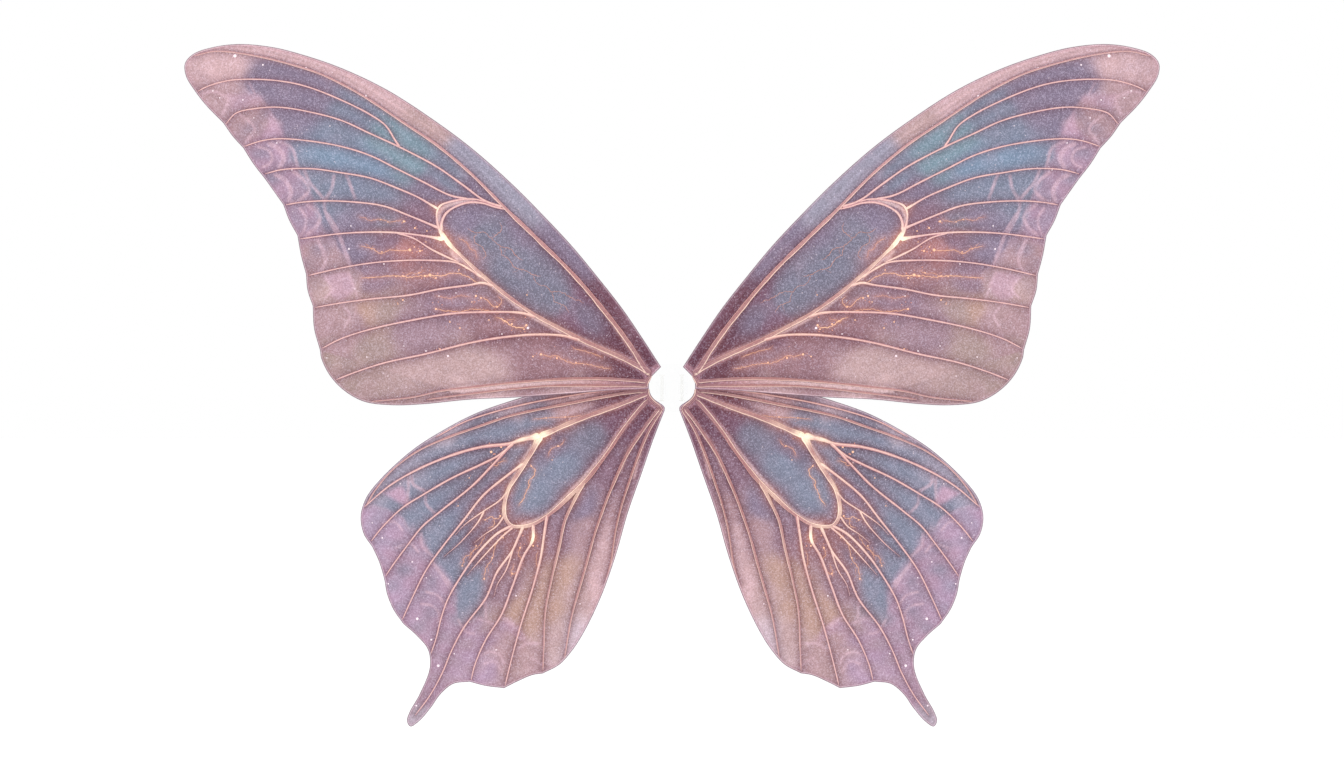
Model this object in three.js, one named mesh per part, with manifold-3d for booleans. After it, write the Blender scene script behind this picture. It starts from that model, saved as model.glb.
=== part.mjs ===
// Fairy wings: two butterfly-shaped wings, each a forewing and a hindwing panel, carried on a small clear
// hub that is fastened to the wearer's back. Each side folds back on a hinge pin of its own, and each
// hindwing swings up behind its forewing on a pivot screw.
//
// Millimetres, +Z up. X runs across the span, and +Y points at the wearer. The origin is the middle of the
// hub's rear face, which rests on the wearer's back. Both sides are one drawing, mirrored in X.
import * as THREE from "three";
import { mergeVertices } from "three/addons/utils/BufferGeometryUtils.js";
import Module from "manifold-3d";

const wasm = await Module();
wasm.setup();

// ---- Driving sizes ----
const HALF_SPAN = 488; // from the middle to the forewing's tip
const WING_HEIGHT = 683; // from the forewing's top to the hindwing tail's end
const DRAWN_HALF_SPAN = 488; // the sizes that the outlines below are drawn at
const DRAWN_HEIGHT = 683;
const ROOT_RADIUS = 70; // nearer the middle than this, the outlines keep their drawn size

const GAP = 0.3; // between pieces that rest on each other
const RUNNING_GAP = 0.1; // between faces that turn on each other
const PASSING_GAP = 0.8; // between the forewing and the hindwing that swings behind it

const FILM = 0.6; // thickness of a wing's laminated film
const EDGE_WIDTH = 1.8; // the bound edge round each film
const EDGE_THICKNESS = 1.8;
const VEIN_RELIEF = 1.6; // how far the widest vein stands off the film
const SPAR_RADIUS = 1.2; // the rods behind the main veins

const HUB = { width: 32, height: 48, thickness: 4, corner: 6 };
const HARNESS_HOLE_RADIUS = 2.2;
const HARNESS_HOLE_Z = 17;
const LEAF_GAP = 0.4; // the hub stops the open wing this far from the carrier
const CARRIER_THICKNESS = 3;
const HINGE_X = 10;
const KNUCKLE_RADIUS = 3.5;
const KNUCKLE_BLOCK = 5.5; // how far the carrier's knuckle block reaches outward
const CARRIER_KNUCKLE = 12; // its height; the hub's knuckles are above and below it
const HUB_KNUCKLE = 5.7;
const PIN_RADIUS = 1.5;
const PIN_CLEARANCE = 0.1;
const PIN_HEAD = { radius: 2.5, height: 1.4 };
const PIN_TAIL = 0.6; // how far the pin stands out past its clip
const CLIP = { radius: 3, height: 0.8, gap: 0.2 };

const FORE_PLATE = 1.6; // thickness of the forewing's root plate
const HIND_PLATE = 2;
const WASHER = { radius: 5, thickness: 0.6 };
const PIVOT = [36, -6];
const PIVOT_RADIUS = 2;
const PIVOT_HEAD = { radius: 4.5, height: 1.8 };
const SPACER_RADIUS = 3;
const SCREW_RADIUS = 1.4;
const SCREW_HEAD = { radius: 2.8, height: 1.8 };
const SCREW_CLEARANCE = 0.15;
const SPACERS = { lower: [29, 9], upper: [31, 19] };
const STOP_FINGER = 2.4; // width of the finger on the hindwing's root plate that rests on the lower spacer
const FINGER_THICKNESS = 1.2;
const FINGER_FOOT_Z = -10;
const FOREWING_PLATE_CORNERS = [
  [19.5, 18], [26.5, 9], [34, 4], [40, 12], [58, 26], [60, 37], [50, 46], [54, 62], [46, 64], [30, 39],
];
const HINDWING_PLATE_CORNERS = [
  [26, -0.8], [23.5, -9], [24.5, -13], [32, -27], [43, -46], [54, -44], [52, -27], [66, -15], [62, -8], [44, -0.8],
];

const CURVE_TOLERANCE = 0.35; // the furthest that a facet lies from its curve
const ROUND_SIDES = 16;

// ---- Where each layer lies in Y, built forwards from the wearer's back ----
const hubFront = -HUB.thickness;
const carrierRear = hubFront - LEAF_GAP;
const carrierFront = carrierRear - CARRIER_THICKNESS;
const washerRear = carrierFront - RUNNING_GAP;
const hindPlateRear = washerRear - WASHER.thickness - RUNNING_GAP;
const hindPlateFront = hindPlateRear - HIND_PLATE;
const hindFilmRear = hindPlateFront - GAP;
const hindFilmFront = hindFilmRear - FILM;
const hindVeinBase = hindFilmFront - GAP;
const foreSparRear = hindVeinBase - VEIN_RELIEF - PASSING_GAP;
const foreFilmRear = foreSparRear - 2 * SPAR_RADIUS - GAP;
const foreFilmFront = foreFilmRear - FILM;
const foreVeinBase = foreFilmFront - GAP;
const forePlateFront = foreFilmRear + GAP;
const forePlateRear = forePlateFront + FORE_PLATE;
const hingeY = (hindFilmRear + hindFilmFront) / 2;

// ---- Outlines, as runs of points (x, z). A run is one smooth curve, and runs meet in a corner ----
const FOREWING_RUNS = [
  // leading edge, round the tip, down to the first scallop
  [[10.9, 21.1], [30, 50.6], [50, 79.9], [75, 111.8], [100, 142], [130, 174], [161, 205], [200, 239.6],
    [240, 269.3], [285, 298.2], [330, 319.7], [370, 333.5], [400, 340.9], [433, 343.9], [459, 340.8],
    [478.7, 334], [487, 324.5], [486, 312], [477.3, 297.3], [466, 282.7], [448.7, 265]],
  ...scallops([[448.7, 265], [428.7, 240], [406.7, 208.7], [388.7, 183.3], [374.5, 152.5], [366, 114],
    [359.2, 82], [352, 38]], [1, 0.9, 0, 1.2, 0.8, 1.8, 2.3]),
  // rounded lower corner and trailing edge
  [[352, 38], [350.6, 29.4], [342, 12.3], [327.7, -2.7], [307.7, -13.7], [280, -17.2], [250, -16.3],
    [202, -11.6], [155, -9.4], [100, -5.5], [60, -2.5], [23.1, -1]],
  // neck, round the hub
  [[23.1, -1], [23.1, 8.6]],
  [[23.1, 8.6], [10.9, 21.1]],
];
const HINDWING_RUNS = [
  // upper edge, which lies under the forewing as far as x = 155, and round the outer corner
  [[23.1, 2], [60, 1], [100, -2], [135, -5.5], [167.3, -14.7], [198, -26], [230, -42.7], [260, -62],
    [292, -91.3], [306.7, -110.7], [311.7, -128.7], [308.7, -146], [300, -159.3]],
  [[300, -159.3], [293.3, -174], [288, -192], [285.5, -205.6], [279.2, -221.3], [269.1, -236.1]],
  // round the tail
  [[269.1, -236.1], [255, -248.6], [244.4, -261.9], [242.5, -279.8], [252.7, -306.4], [262.8, -324.4],
    [265.4, -333.5], [262, -338.9], [253.4, -333.8], [241.7, -320.5], [231.6, -306.4], [219, -296.3],
    [203, -294]],
  [[203, -294], [186.3, -298.3], [168, -300.5]],
  [[168, -300.5], [155, -293.9], [140, -287.5], [129.2, -285.8]],
  // inner margin
  [[129.2, -285.8], [112.8, -277], [100.3, -263.4], [87.8, -243.9], [70.6, -208], [56.3, -167.7],
    [44.1, -124.9], [30.6, -86.3], [17.7, -49.1], [7.4, -22.5]],
  // neck
  [[7.4, -22.5], [7.6, -19], [17.7, -11.3]],
  [[17.7, -11.3], [20.6, -7.7], [23.1, -1], [23.1, 2]],
];

// ---- Veins: base width at the root and at the end, and the route ----
const FOREWING_VEINS = {
  root_web: [5, 4.5, [[14, 19], [19, 14.5], [24.5, 8], [25.8, 1.5]]],
  subcosta: [5.2, 1.8, [[20, 12], [28, 20.5], [40.6, 41], [59.3, 66.5], [79.3, 91], [100, 114.6], [130.6, 145.1],
    [165, 178], [200, 213.3], [233, 241.3], [270, 266.3], [310, 292.7], [350, 313.3], [390, 326],
    [425, 333.6], [457, 336.6], [478, 332]]],
  cubitus: [5, 3.4, [[22, 15], [50, 30.1], [80.6, 43.7], [116, 61.4], [145, 78], [187.7, 110.9],
    [209, 130.7], [224, 145.5], [230.5, 157]]],
  cell_end: [3.2, 2.4, [[230.5, 157], [230.4, 165], [226, 174.5], [216, 181.5], [203, 185.5], [190, 185],
    [178, 181.3], [166, 178.5]]],
  cell_outer: [3, 2.2, [[227, 148], [232.6, 158.5], [235, 168], [235, 176], [231.5, 182.4], [222, 186.2],
    [208, 188.6], [196, 188.6], [186, 185.8]]],
  radius_1: [2.8, 1.7, [[170, 181], [187.3, 187.3], [208.7, 202.7], [235.3, 221.3], [272, 240.7],
    [302, 254.5], [330, 267.3], [360, 275.5], [393, 280.7], [417, 279.3], [436, 274.7], [446, 264]]],
  radius_2: [2.4, 1.7, [[272, 240.7], [277, 248], [286, 262], [300, 272.3], [330, 287.6], [365, 301.3],
    [390, 306.7], [420, 308.7], [444, 307.3], [465, 301.3], [476, 295.5]]],
  radius_3: [2.6, 1.7, [[203, 188.6], [222, 192.7], [248.7, 206], [275.3, 219.3], [302, 232.5],
    [330, 241.3], [365, 247.3], [393, 249.2], [410, 247.2], [428, 241.5]]],
  radius_4: [2.6, 1.7, [[233, 178.5], [240, 182.6], [254, 190.7], [275.3, 200], [302, 210], [330, 215.1],
    [361, 219.3], [390, 218.3], [409, 213.5]]],
  media_1: [2.8, 1.7, [[232.5, 159.7], [262, 172], [288.7, 182], [318.7, 186], [350, 187.1],
    [372, 185.5], [388, 182.8]]],
  media_2: [3, 1.7, [[228, 148.6], [245, 151.6], [273.4, 155.1], [300, 155.9], [330.6, 154.4],
    [359, 150.9], [374, 148.7]]],
  media_link: [2, 2.2, [[276, 155.2], [259, 150], [240.6, 138.7], [225, 131], [213.4, 125.9]]],
  media_3: [2.4, 1.7, [[190, 110.5], [203, 119], [216, 125.4], [245, 127.7], [273, 127.3],
    [300, 125.1], [330.6, 120.1], [366, 112]]],
  cubitus_1: [2.8, 1.7, [[178, 102], [190, 105.2], [202, 103], [233.4, 98.7], [262, 93], [300, 89.1],
    [330.6, 85.1], [359, 80.1]]],
  cubitus_2: [3, 1.8, [[136, 71], [150, 75], [187.7, 75.9], [220, 74.4], [259, 68], [300, 59.1],
    [330.6, 49.4], [352, 38.5]]],
  cubitus_3: [3.2, 1.8, [[92, 48], [109, 52.3], [137.7, 53.4], [173.4, 50.1], [202, 45.1],
    [244.9, 34.4], [287.7, 25.1], [316.3, 15.9], [338, 7.5]]],
  anal_upper: [3.4, 1.6, [[25, 6.5], [66, 9.2], [109, 9], [152, 5.9], [200, 0.9], [230.6, -2.7],
    [259, -9.1], [300, -13.4]]],
  anal_lower: [3, 1.6, [[25.5, 2.2], [60, 2.4], [116, 2.4], [150, 0], [200, -5.5], [245, -11.5]]],
};
const HINDWING_VEINS = {
  root_web: [5, 4, [[25.8, 0.5], [24.5, -7], [19.5, -13.5], [11.5, -20], [9, -24]]],
  costa: [2.4, 1.4, [[26, -1], [60, -2], [85, -5], [100, -7.4], [139, -14.3], [180, -24.5], [209, -34.5],
    [236, -49]]],
  subcosta: [3.4, 1.6, [[25, -2.5], [50, -5.6], [82, -11.3], [117.7, -18.4], [160.6, -27.5], [200, -40.7],
    [230, -51.6], [256, -64], [280, -82], [297, -102], [306, -117]]],
  stem: [4.6, 5, [[24.5, -5], [42, -12.7], [64.9, -21.3], [100, -34.1], [120.6, -43.5], [134, -48.5]]],
  radius: [4.4, 1.7, [[132, -48], [150, -51.5], [163, -55.8], [188.7, -58.7], [215, -65.5], [250, -79.3],
    [282, -97.3], [308, -119]]],
  media_1: [3, 1.7, [[158, -54.5], [172, -66.5], [190, -76], [220, -90], [250, -107.3], [270, -120],
    [290, -139.3], [301, -153]]],
  media_2: [3, 1.7, [[160, -55.5], [180, -77.5], [200, -98], [230, -122], [250, -138.7], [263, -155],
    [278, -175.3], [288, -190]]],
  cell: [4.4, 4, [[132, -47], [139, -62], [153.4, -84.9], [163.4, -100.6], [167.6, -114], [167.5, -128],
    [161, -137.5], [150, -138.6], [139, -136.3], [119, -123.4], [100, -106.3], [82, -87.7],
    [64.9, -64.9], [47.7, -39.9], [32, -20.6], [23, -11]]],
  media_3: [3, 1.7, [[148, -75], [162, -85.3], [188.7, -107.3], [207.3, -130.7], [230, -159.3],
    [246, -182], [260.5, -211], [270, -232]]],
  twig_1: [2, 1.1, [[164, -103], [172.7, -112.7], [188.7, -123.3], [207.3, -136.7], [217, -147]]],
  twig_2: [1.8, 1, [[187.7, -122.5], [194, -134], [211.3, -154], [228, -168.7]]],
  twig_3: [2, 1, [[167.5, -127], [175.3, -138], [188.7, -147.3], [198, -155.3]]],
  cubitus_1: [3, 1.7, [[160, -137.5], [175.3, -146], [196.7, -168], [211.3, -188.7], [224, -210.5],
    [231, -230], [236, -250], [242, -268]]],
  twig_4: [2.2, 1.1, [[158, -138.4], [171.3, -150], [190, -170], [205.3, -187.3]]],
  cubitus_2: [3, 1.5, [[148.7, -138], [154, -150], [160, -163], [175.3, -184.7], [186.3, -210.3],
    [208, -239.2], [220.6, -262.7], [230, -285.3], [242.5, -308], [257, -327.5]]],
  twig_5: [2, 1.1, [[159, -161], [166, -182], [175, -197], [178, -208]]],
  cubitus_3: [3.4, 1.7, [[139, -136.3], [139.5, -152], [148.7, -168.7], [160, -199.3], [170.6, -226.7],
    [186.3, -251.7], [197.2, -276.7], [201.5, -294]]],
  cubitus_4: [3.2, 1.7, [[125, -127], [128, -147], [131.5, -170], [139.4, -200], [151.9, -239],
    [162, -276.7], [167.6, -300]]],
  anal_1: [3.4, 1.7, [[88, -94], [98, -113], [107, -132], [112.5, -157], [120.6, -192], [126.5, -222],
    [128.4, -258], [129.4, -285]]],
  anal_2: [3.6, 1.8, [[13, -20], [29, -42], [44.9, -66.3], [59, -96.3], [75.6, -140.6], [89, -187.7],
    [100.3, -228.3], [108, -272]]],
  anal_3: [3, 1.5, [[10.5, -21], [24.9, -46.3], [41.3, -89], [54.9, -134.9], [62, -177.7], [67, -195]]],
};
// The rods behind the film: each follows the vein in front of it.
const SPARS = {
  forewing: {
    leading: [[38, 41], [73.4, 88.7], [130.6, 145.1], [200, 213.3], [270, 266.3], [350, 312], [420, 331]],
    trailing: [[44, 28], [80.6, 43.7], [145, 78], [187.7, 108], [262, 95], [345, 84]],
  },
  hindwing: {
    upper: [[48, -15.5], [100, -34.1], [150, -53], [200, -82], [250, -107.3], [290, -140]],
    lower: [[44, -35], [64.9, -64.9], [100, -106.3], [133, -170], [152, -238], [164, -285]],
  },
};

const materials = {
  film: material("film", 0x8d7f9f, 0.35, 0),
  vein: material("vein", 0xe0b3ab, 0.4, 0),
  edge: material("edge", 0xc9a3b4, 0.4, 0),
  spar: material("spar", 0xb9a3ad, 0.45, 0),
  clear: material("clear_plastic", 0xe6ecf0, 0.1, 0),
  steel: material("steel", 0xc8cacd, 0.3, 1),
  nylon: material("nylon", 0xe9e4dc, 0.5, 0),
};

function material(name, color, roughness, metalness) {
  return new THREE.MeshStandardMaterial({ name, color, roughness, metalness });
}

// ---- Curves and outlines ----

// Scallops between neighbouring vein ends: each bulges outwards by its own amount in the middle.
function scallops(ends, bulges) {
  return bulges.map((bulge, i) => {
    const [a, b] = [new THREE.Vector2(...ends[i]), new THREE.Vector2(...ends[i + 1])];
    const along = b.clone().sub(a).normalize();
    const middle = a.clone().add(b).multiplyScalar(0.5);
    return [ends[i], [middle.x - along.y * bulge, middle.y + along.x * bulge], ends[i + 1]];
  });
}

// The drawn point at the sizes asked for: the root stays as drawn, and the blade stretches beyond it.
function placed([x, z]) {
  const share = THREE.MathUtils.smoothstep(Math.hypot(x, z), ROOT_RADIUS, 2 * ROOT_RADIUS);
  const across = 1 + share * (HALF_SPAN / DRAWN_HALF_SPAN - 1);
  const up = 1 + share * (WING_HEIGHT / DRAWN_HEIGHT - 1);
  return new THREE.Vector3(x * across, 0, z * up);
}

// Points on a smooth curve, closer together where it bends more.
function curvePoints(run, tolerance = CURVE_TOLERANCE) {
  const curve = new THREE.CatmullRomCurve3(run.map(placed), false, "centripetal");
  const between = (t0, p0, t1, p1) => {
    const t = (t0 + t1) / 2;
    const p = curve.getPoint(t);
    const chord = new THREE.Line3(p0, p1);
    const away = chord.closestPointToPoint(p, true, new THREE.Vector3()).distanceTo(p);
    return away > tolerance ? [...between(t0, p0, t, p), ...between(t, p, t1, p1)] : [p1];
  };
  const knots = run.map((_, i) => i / (run.length - 1));
  const start = curve.getPoint(0);
  return knots.slice(1).reduce((points, t, i) => [
    ...points,
    ...between(knots[i], points.at(-1), t, curve.getPoint(t)),
  ], [start]);
}

// A closed outline from its runs, as Vector2 (x, z), anticlockwise.
function outline(runs) {
  const points = runs.flatMap((run) => curvePoints(run).slice(0, -1));
  const flat = points.map((p) => new THREE.Vector2(p.x, p.z));
  return THREE.ShapeUtils.isClockWise(flat) ? flat.reverse() : flat;
}

// The anticlockwise outline moved inwards by a distance.
function inset(points, distance) {
  return points.map((p, i) => {
    const before = points.at(i - 1);
    const after = points[(i + 1) % points.length];
    const inA = normalTo(before, p);
    const inB = normalTo(p, after);
    const mitre = inA.clone().add(inB).divideScalar(1 + inA.dot(inB));
    return p.clone().addScaledVector(mitre, distance);
  });
}

function normalTo(a, b) {
  const along = b.clone().sub(a).normalize();
  return new THREE.Vector2(-along.y, along.x);
}

// ---- Solids ----

// A flat piece with this outline in X and Z, between two values of Y.
function plate(points, front, rear, holes = []) {
  const shape = new THREE.Shape(points);
  shape.holes = holes;
  const geometry = new THREE.ExtrudeGeometry(shape, { depth: rear - front, bevelEnabled: false });
  return geometry.rotateX(Math.PI / 2).translate(0, rear, 0);
}

function vectors(points) {
  return points.map((p) => new THREE.Vector2(...p));
}

// A turned piece from its half profile (radius, height), standing along Z.
function turned(profile) {
  return new THREE.LatheGeometry(vectors(profile), ROUND_SIDES)
    .rotateX(Math.PI / 2);
}

// The same, lying along Y: heights become places in Y, at (x, z).
function turnedAlongY(profile, [x, z]) {
  return new THREE.LatheGeometry(vectors(profile), ROUND_SIDES)
    .translate(x, 0, z);
}

// What a drill takes out along Y at (x, z), running past both faces.
function drill(place, radius, front, rear) {
  return turnedAlongY([[0, front - 1], [radius, front - 1], [radius, rear + 1], [0, rear + 1]], place);
}

function box(x0, x1, y0, y1, z0, z1) {
  return new THREE.BoxGeometry(x1 - x0, y1 - y0, z1 - z0)
    .translate((x0 + x1) / 2, (y0 + y1) / 2, (z0 + z1) / 2);
}

function cylinder(radius, z0, z1, x, y) {
  return new THREE.CylinderGeometry(radius, radius, z1 - z0, ROUND_SIDES)
    .rotateX(Math.PI / 2).translate(x, y, (z0 + z1) / 2);
}

// A vein: a ridge with a flat base and a triangular section that narrows along its route.
function ridge([rootWidth, endWidth, route], baseY) {
  const line = curvePoints(route);
  const lengths = line.map((p, i) => (i ? p.distanceTo(line[i - 1]) : 0));
  const total = lengths.reduce((a, b) => a + b);
  const position = [];
  let along = 0;
  line.forEach((p, i) => {
    along += lengths[i];
    const width = THREE.MathUtils.lerp(rootWidth, endWidth, along / total);
    const ahead = line[Math.min(i + 1, line.length - 1)];
    const across = ahead.clone().sub(line[Math.max(i - 1, 0)]).normalize();
    const side = new THREE.Vector3(-across.z, 0, across.x).multiplyScalar(width / 2);
    const relief = Math.min(VEIN_RELIEF, width / 2);
    position.push(...p.clone().add(side).setY(baseY).toArray());
    position.push(...p.clone().sub(side).setY(baseY).toArray());
    position.push(...p.clone().setY(baseY - relief).toArray());
  });
  const index = [0, 1, 2];
  for (let i = 0; i < line.length - 1; i++) {
    for (let k = 0; k < 3; k++) {
      const [a, b] = [3 * i + k, 3 * i + ((k + 1) % 3)];
      index.push(a, a + 3, b, b, a + 3, b + 3);
    }
  }
  const last = 3 * (line.length - 1);
  index.push(last, last + 2, last + 1);
  const geometry = new THREE.BufferGeometry();
  geometry.setAttribute("position", new THREE.Float32BufferAttribute(position, 3));
  return geometry.setIndex(index);
}

// A rod along its route, at one Y.
function rod(route, y, radius = SPAR_RADIUS) {
  const path = new THREE.CatmullRomCurve3(route.map((p) => placed(p).setY(y)), false, "centripetal");
  const section = new THREE.Shape().absarc(0, 0, radius, 0, 2 * Math.PI, false);
  const steps = 2 * (route.length - 1);
  return new THREE.ExtrudeGeometry(section, { steps, extrudePath: path, curveSegments: 3 });
}

// ---- Booleans ----

function solid(geometry) {
  const bare = geometry.clone();
  Object.keys(bare.attributes).filter((n) => n !== "position").forEach((n) => bare.deleteAttribute(n));
  const merged = mergeVertices(bare, 1e-3);
  const made = new wasm.Manifold(new wasm.Mesh({
    numProp: 3,
    vertProperties: merged.attributes.position.array,
    triVerts: new Uint32Array(merged.index.array),
  }));
  return made;
}

function geometryOf(made) {
  const mesh = made.getMesh();
  const geometry = new THREE.BufferGeometry();
  geometry.setAttribute("position", new THREE.BufferAttribute(mesh.vertProperties, 3));
  return geometry.setIndex(new THREE.BufferAttribute(mesh.triVerts, 1));
}

function joined(geometries) {
  return geometries.map(solid).reduce((a, b) => a.add(b));
}

// ---- The wing panels ----

function film(shape, front) {
  return plate(inset(shape, EDGE_WIDTH + GAP), front, front + FILM);
}

function edge(shape, filmFront) {
  const middle = filmFront + FILM / 2;
  const inner = new THREE.Path(inset(shape, EDGE_WIDTH).reverse());
  return plate(shape, middle - EDGE_THICKNESS / 2, middle + EDGE_THICKNESS / 2, [inner]);
}

// All the veins of a panel as one moulding, trimmed to the film so that it clears the bound edge.
function veins(routes, shape, baseY) {
  const network = joined(Object.values(routes).map((vein) => ridge(vein, baseY)));
  const trim = solid(plate(inset(shape, EDGE_WIDTH + GAP), baseY - 2 * VEIN_RELIEF, baseY + 1));
  return geometryOf(network.intersect(trim));
}

// ---- The root hardware ----

const screwHole = SCREW_RADIUS + SCREW_CLEARANCE;
const pivotHole = PIVOT_RADIUS + SCREW_CLEARANCE;

// Slots that rods drop into, each reaching a little past its rod's end.
function slotsFor(routes, y) {
  return joined(routes.map((route) => {
    const [start, next] = [new THREE.Vector2(...route[0]), new THREE.Vector2(...route[1])];
    const back = start.clone().sub(next).normalize().multiplyScalar(GAP).add(start);
    return rod([back.toArray(), ...route.slice(1)], y, SPAR_RADIUS + GAP);
  }));
}

function forewingRootPlate() {
  const whole = solid(plate(vectors(FOREWING_PLATE_CORNERS), forePlateFront, forePlateRear));
  const holes = Object.values(SPACERS).map((p) => drill(p, screwHole, forePlateFront, forePlateRear));
  const slots = slotsFor(Object.values(SPARS.forewing), foreFilmRear + GAP + SPAR_RADIUS);
  return geometryOf(whole.subtract(slots).subtract(joined(holes)));
}

// The hindwing's plate has a thinner finger that reaches over the bound edge to rest against a spacer.
function hindwingRootPlate() {
  const [stopX, stopZ] = SPACERS.lower;
  const fingerRight = stopX - SPACER_RADIUS - GAP;
  const fingerFront = hindPlateRear - FINGER_THICKNESS;
  const whole = joined([
    plate(vectors(HINDWING_PLATE_CORNERS), hindPlateFront, hindPlateRear),
    box(fingerRight - STOP_FINGER, fingerRight, fingerFront, hindPlateRear, FINGER_FOOT_Z, stopZ),
  ]);
  const slots = slotsFor(Object.values(SPARS.hindwing), hindFilmRear + GAP + SPAR_RADIUS);
  const hole = solid(drill(PIVOT, pivotHole, hindPlateFront, hindPlateRear));
  return geometryOf(whole.subtract(slots).subtract(hole));
}

// The arm that carries both panels: a knuckle on the hinge pin, a block behind it, and a web.
function carrier() {
  const half = CARRIER_KNUCKLE / 2;
  const [pivotX, pivotZ] = PIVOT;
  const [topX, topZ] = SPACERS.upper;
  const blockSide = HINGE_X + KNUCKLE_BLOCK;
  const points = [[HINGE_X + 1, half], [HINGE_X + 1, -half], [blockSide, -half], [pivotX - 6, pivotZ - 6],
    [pivotX + 1, pivotZ - 6.5], [pivotX + 6, pivotZ - 2], [pivotX + 6, pivotZ + 4], [topX + 6, topZ - 7],
    [topX + 6, topZ + 1], [topX + 2, topZ + 5.5], [topX - 3, topZ + 5], [topX - 7, topZ - 4],
    [blockSide, half]];
  const body = joined([
    plate(vectors(points), carrierFront, carrierRear),
    box(HINGE_X, blockSide, hingeY, carrierRear, -half, half),
    cylinder(KNUCKLE_RADIUS, -half, half, HINGE_X, hingeY),
  ]);
  const holes = joined([
    cylinder(PIN_RADIUS + PIN_CLEARANCE, -half - 1, half + 1, HINGE_X, hingeY),
    drill(PIVOT, pivotHole, carrierFront, carrierRear),
    ...Object.values(SPACERS).map((place) => drill(place, screwHole, carrierFront, carrierRear)),
  ]);
  return geometryOf(body.subtract(holes));
}

function hub() {
  const { width, height, corner } = HUB;
  const shape = roundedRectangle(width, height, corner);
  const holes = [1, -1].map((side) => drill([0, side * HARNESS_HOLE_Z], HARNESS_HOLE_RADIUS, hubFront, 0));
  const inner = CARRIER_KNUCKLE / 2 + GAP;
  const outer = inner + HUB_KNUCKLE;
  const knuckles = [-1, 1].flatMap((side) => [[-outer, -inner], [inner, outer]].flatMap(([low, high]) => [
    cylinder(KNUCKLE_RADIUS, low, high, side * HINGE_X, hingeY),
    box(side * HINGE_X - KNUCKLE_RADIUS, side * HINGE_X + KNUCKLE_RADIUS, hingeY, hubFront + 1, low, high),
  ]));
  const bores = [-1, 1].map((side) =>
    cylinder(PIN_RADIUS + PIN_CLEARANCE, -outer - 1, outer + 1, side * HINGE_X, hingeY));
  const body = joined([plate(shape, hubFront, 0), ...knuckles]);
  return geometryOf(body.subtract(joined([...bores, ...holes])));
}

function roundedRectangle(width, height, corner) {
  const shape = new THREE.Shape();
  const [x, z] = [width / 2 - corner, height / 2 - corner];
  [[x, z, 0], [-x, z, 1], [-x, -z, 2], [x, -z, 3]].forEach(([cx, cz, quarter]) => {
    shape.absarc(cx, cz, corner, (quarter * Math.PI) / 2, ((quarter + 1) * Math.PI) / 2, false);
  });
  return shape.getPoints(4).filter((p, i, all) => i === 0 || p.distanceTo(all[i - 1]) > 1e-6);
}

function hingePin() {
  const end = CARRIER_KNUCKLE / 2 + GAP + HUB_KNUCKLE;
  const tail = -end - CLIP.gap - CLIP.height - PIN_TAIL;
  const headFoot = end + CLIP.gap;
  return turned([[0, tail], [PIN_RADIUS, tail], [PIN_RADIUS, headFoot], [PIN_HEAD.radius, headFoot],
    [PIN_HEAD.radius, headFoot + PIN_HEAD.height], [0, headFoot + PIN_HEAD.height]])
    .translate(HINGE_X, hingeY, 0);
}

function pinClip() {
  const top = -(CARRIER_KNUCKLE / 2 + GAP + HUB_KNUCKLE) - CLIP.gap;
  const inner = PIN_RADIUS + PIN_CLEARANCE;
  return turned([[inner, top - CLIP.height], [CLIP.radius, top - CLIP.height], [CLIP.radius, top],
    [inner, top], [inner, top - CLIP.height]]).translate(HINGE_X, hingeY, 0);
}

function screw(place, radius, head, tip) {
  const seat = carrierRear + RUNNING_GAP;
  return turnedAlongY([[0, tip], [radius, tip], [radius, seat], [head.radius, seat],
    [head.radius, seat + head.height], [0, seat + head.height]], place);
}

function ring(place, inner, outer, front, rear) {
  const section = [[inner, front], [outer, front], [outer, rear], [inner, rear], [inner, front]];
  return turnedAlongY(section, place);
}

// ---- Assembly ----

function mesh(name, geometry, finish) {
  const made = new THREE.Mesh(geometry, finish);
  made.name = name;
  return made;
}

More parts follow.
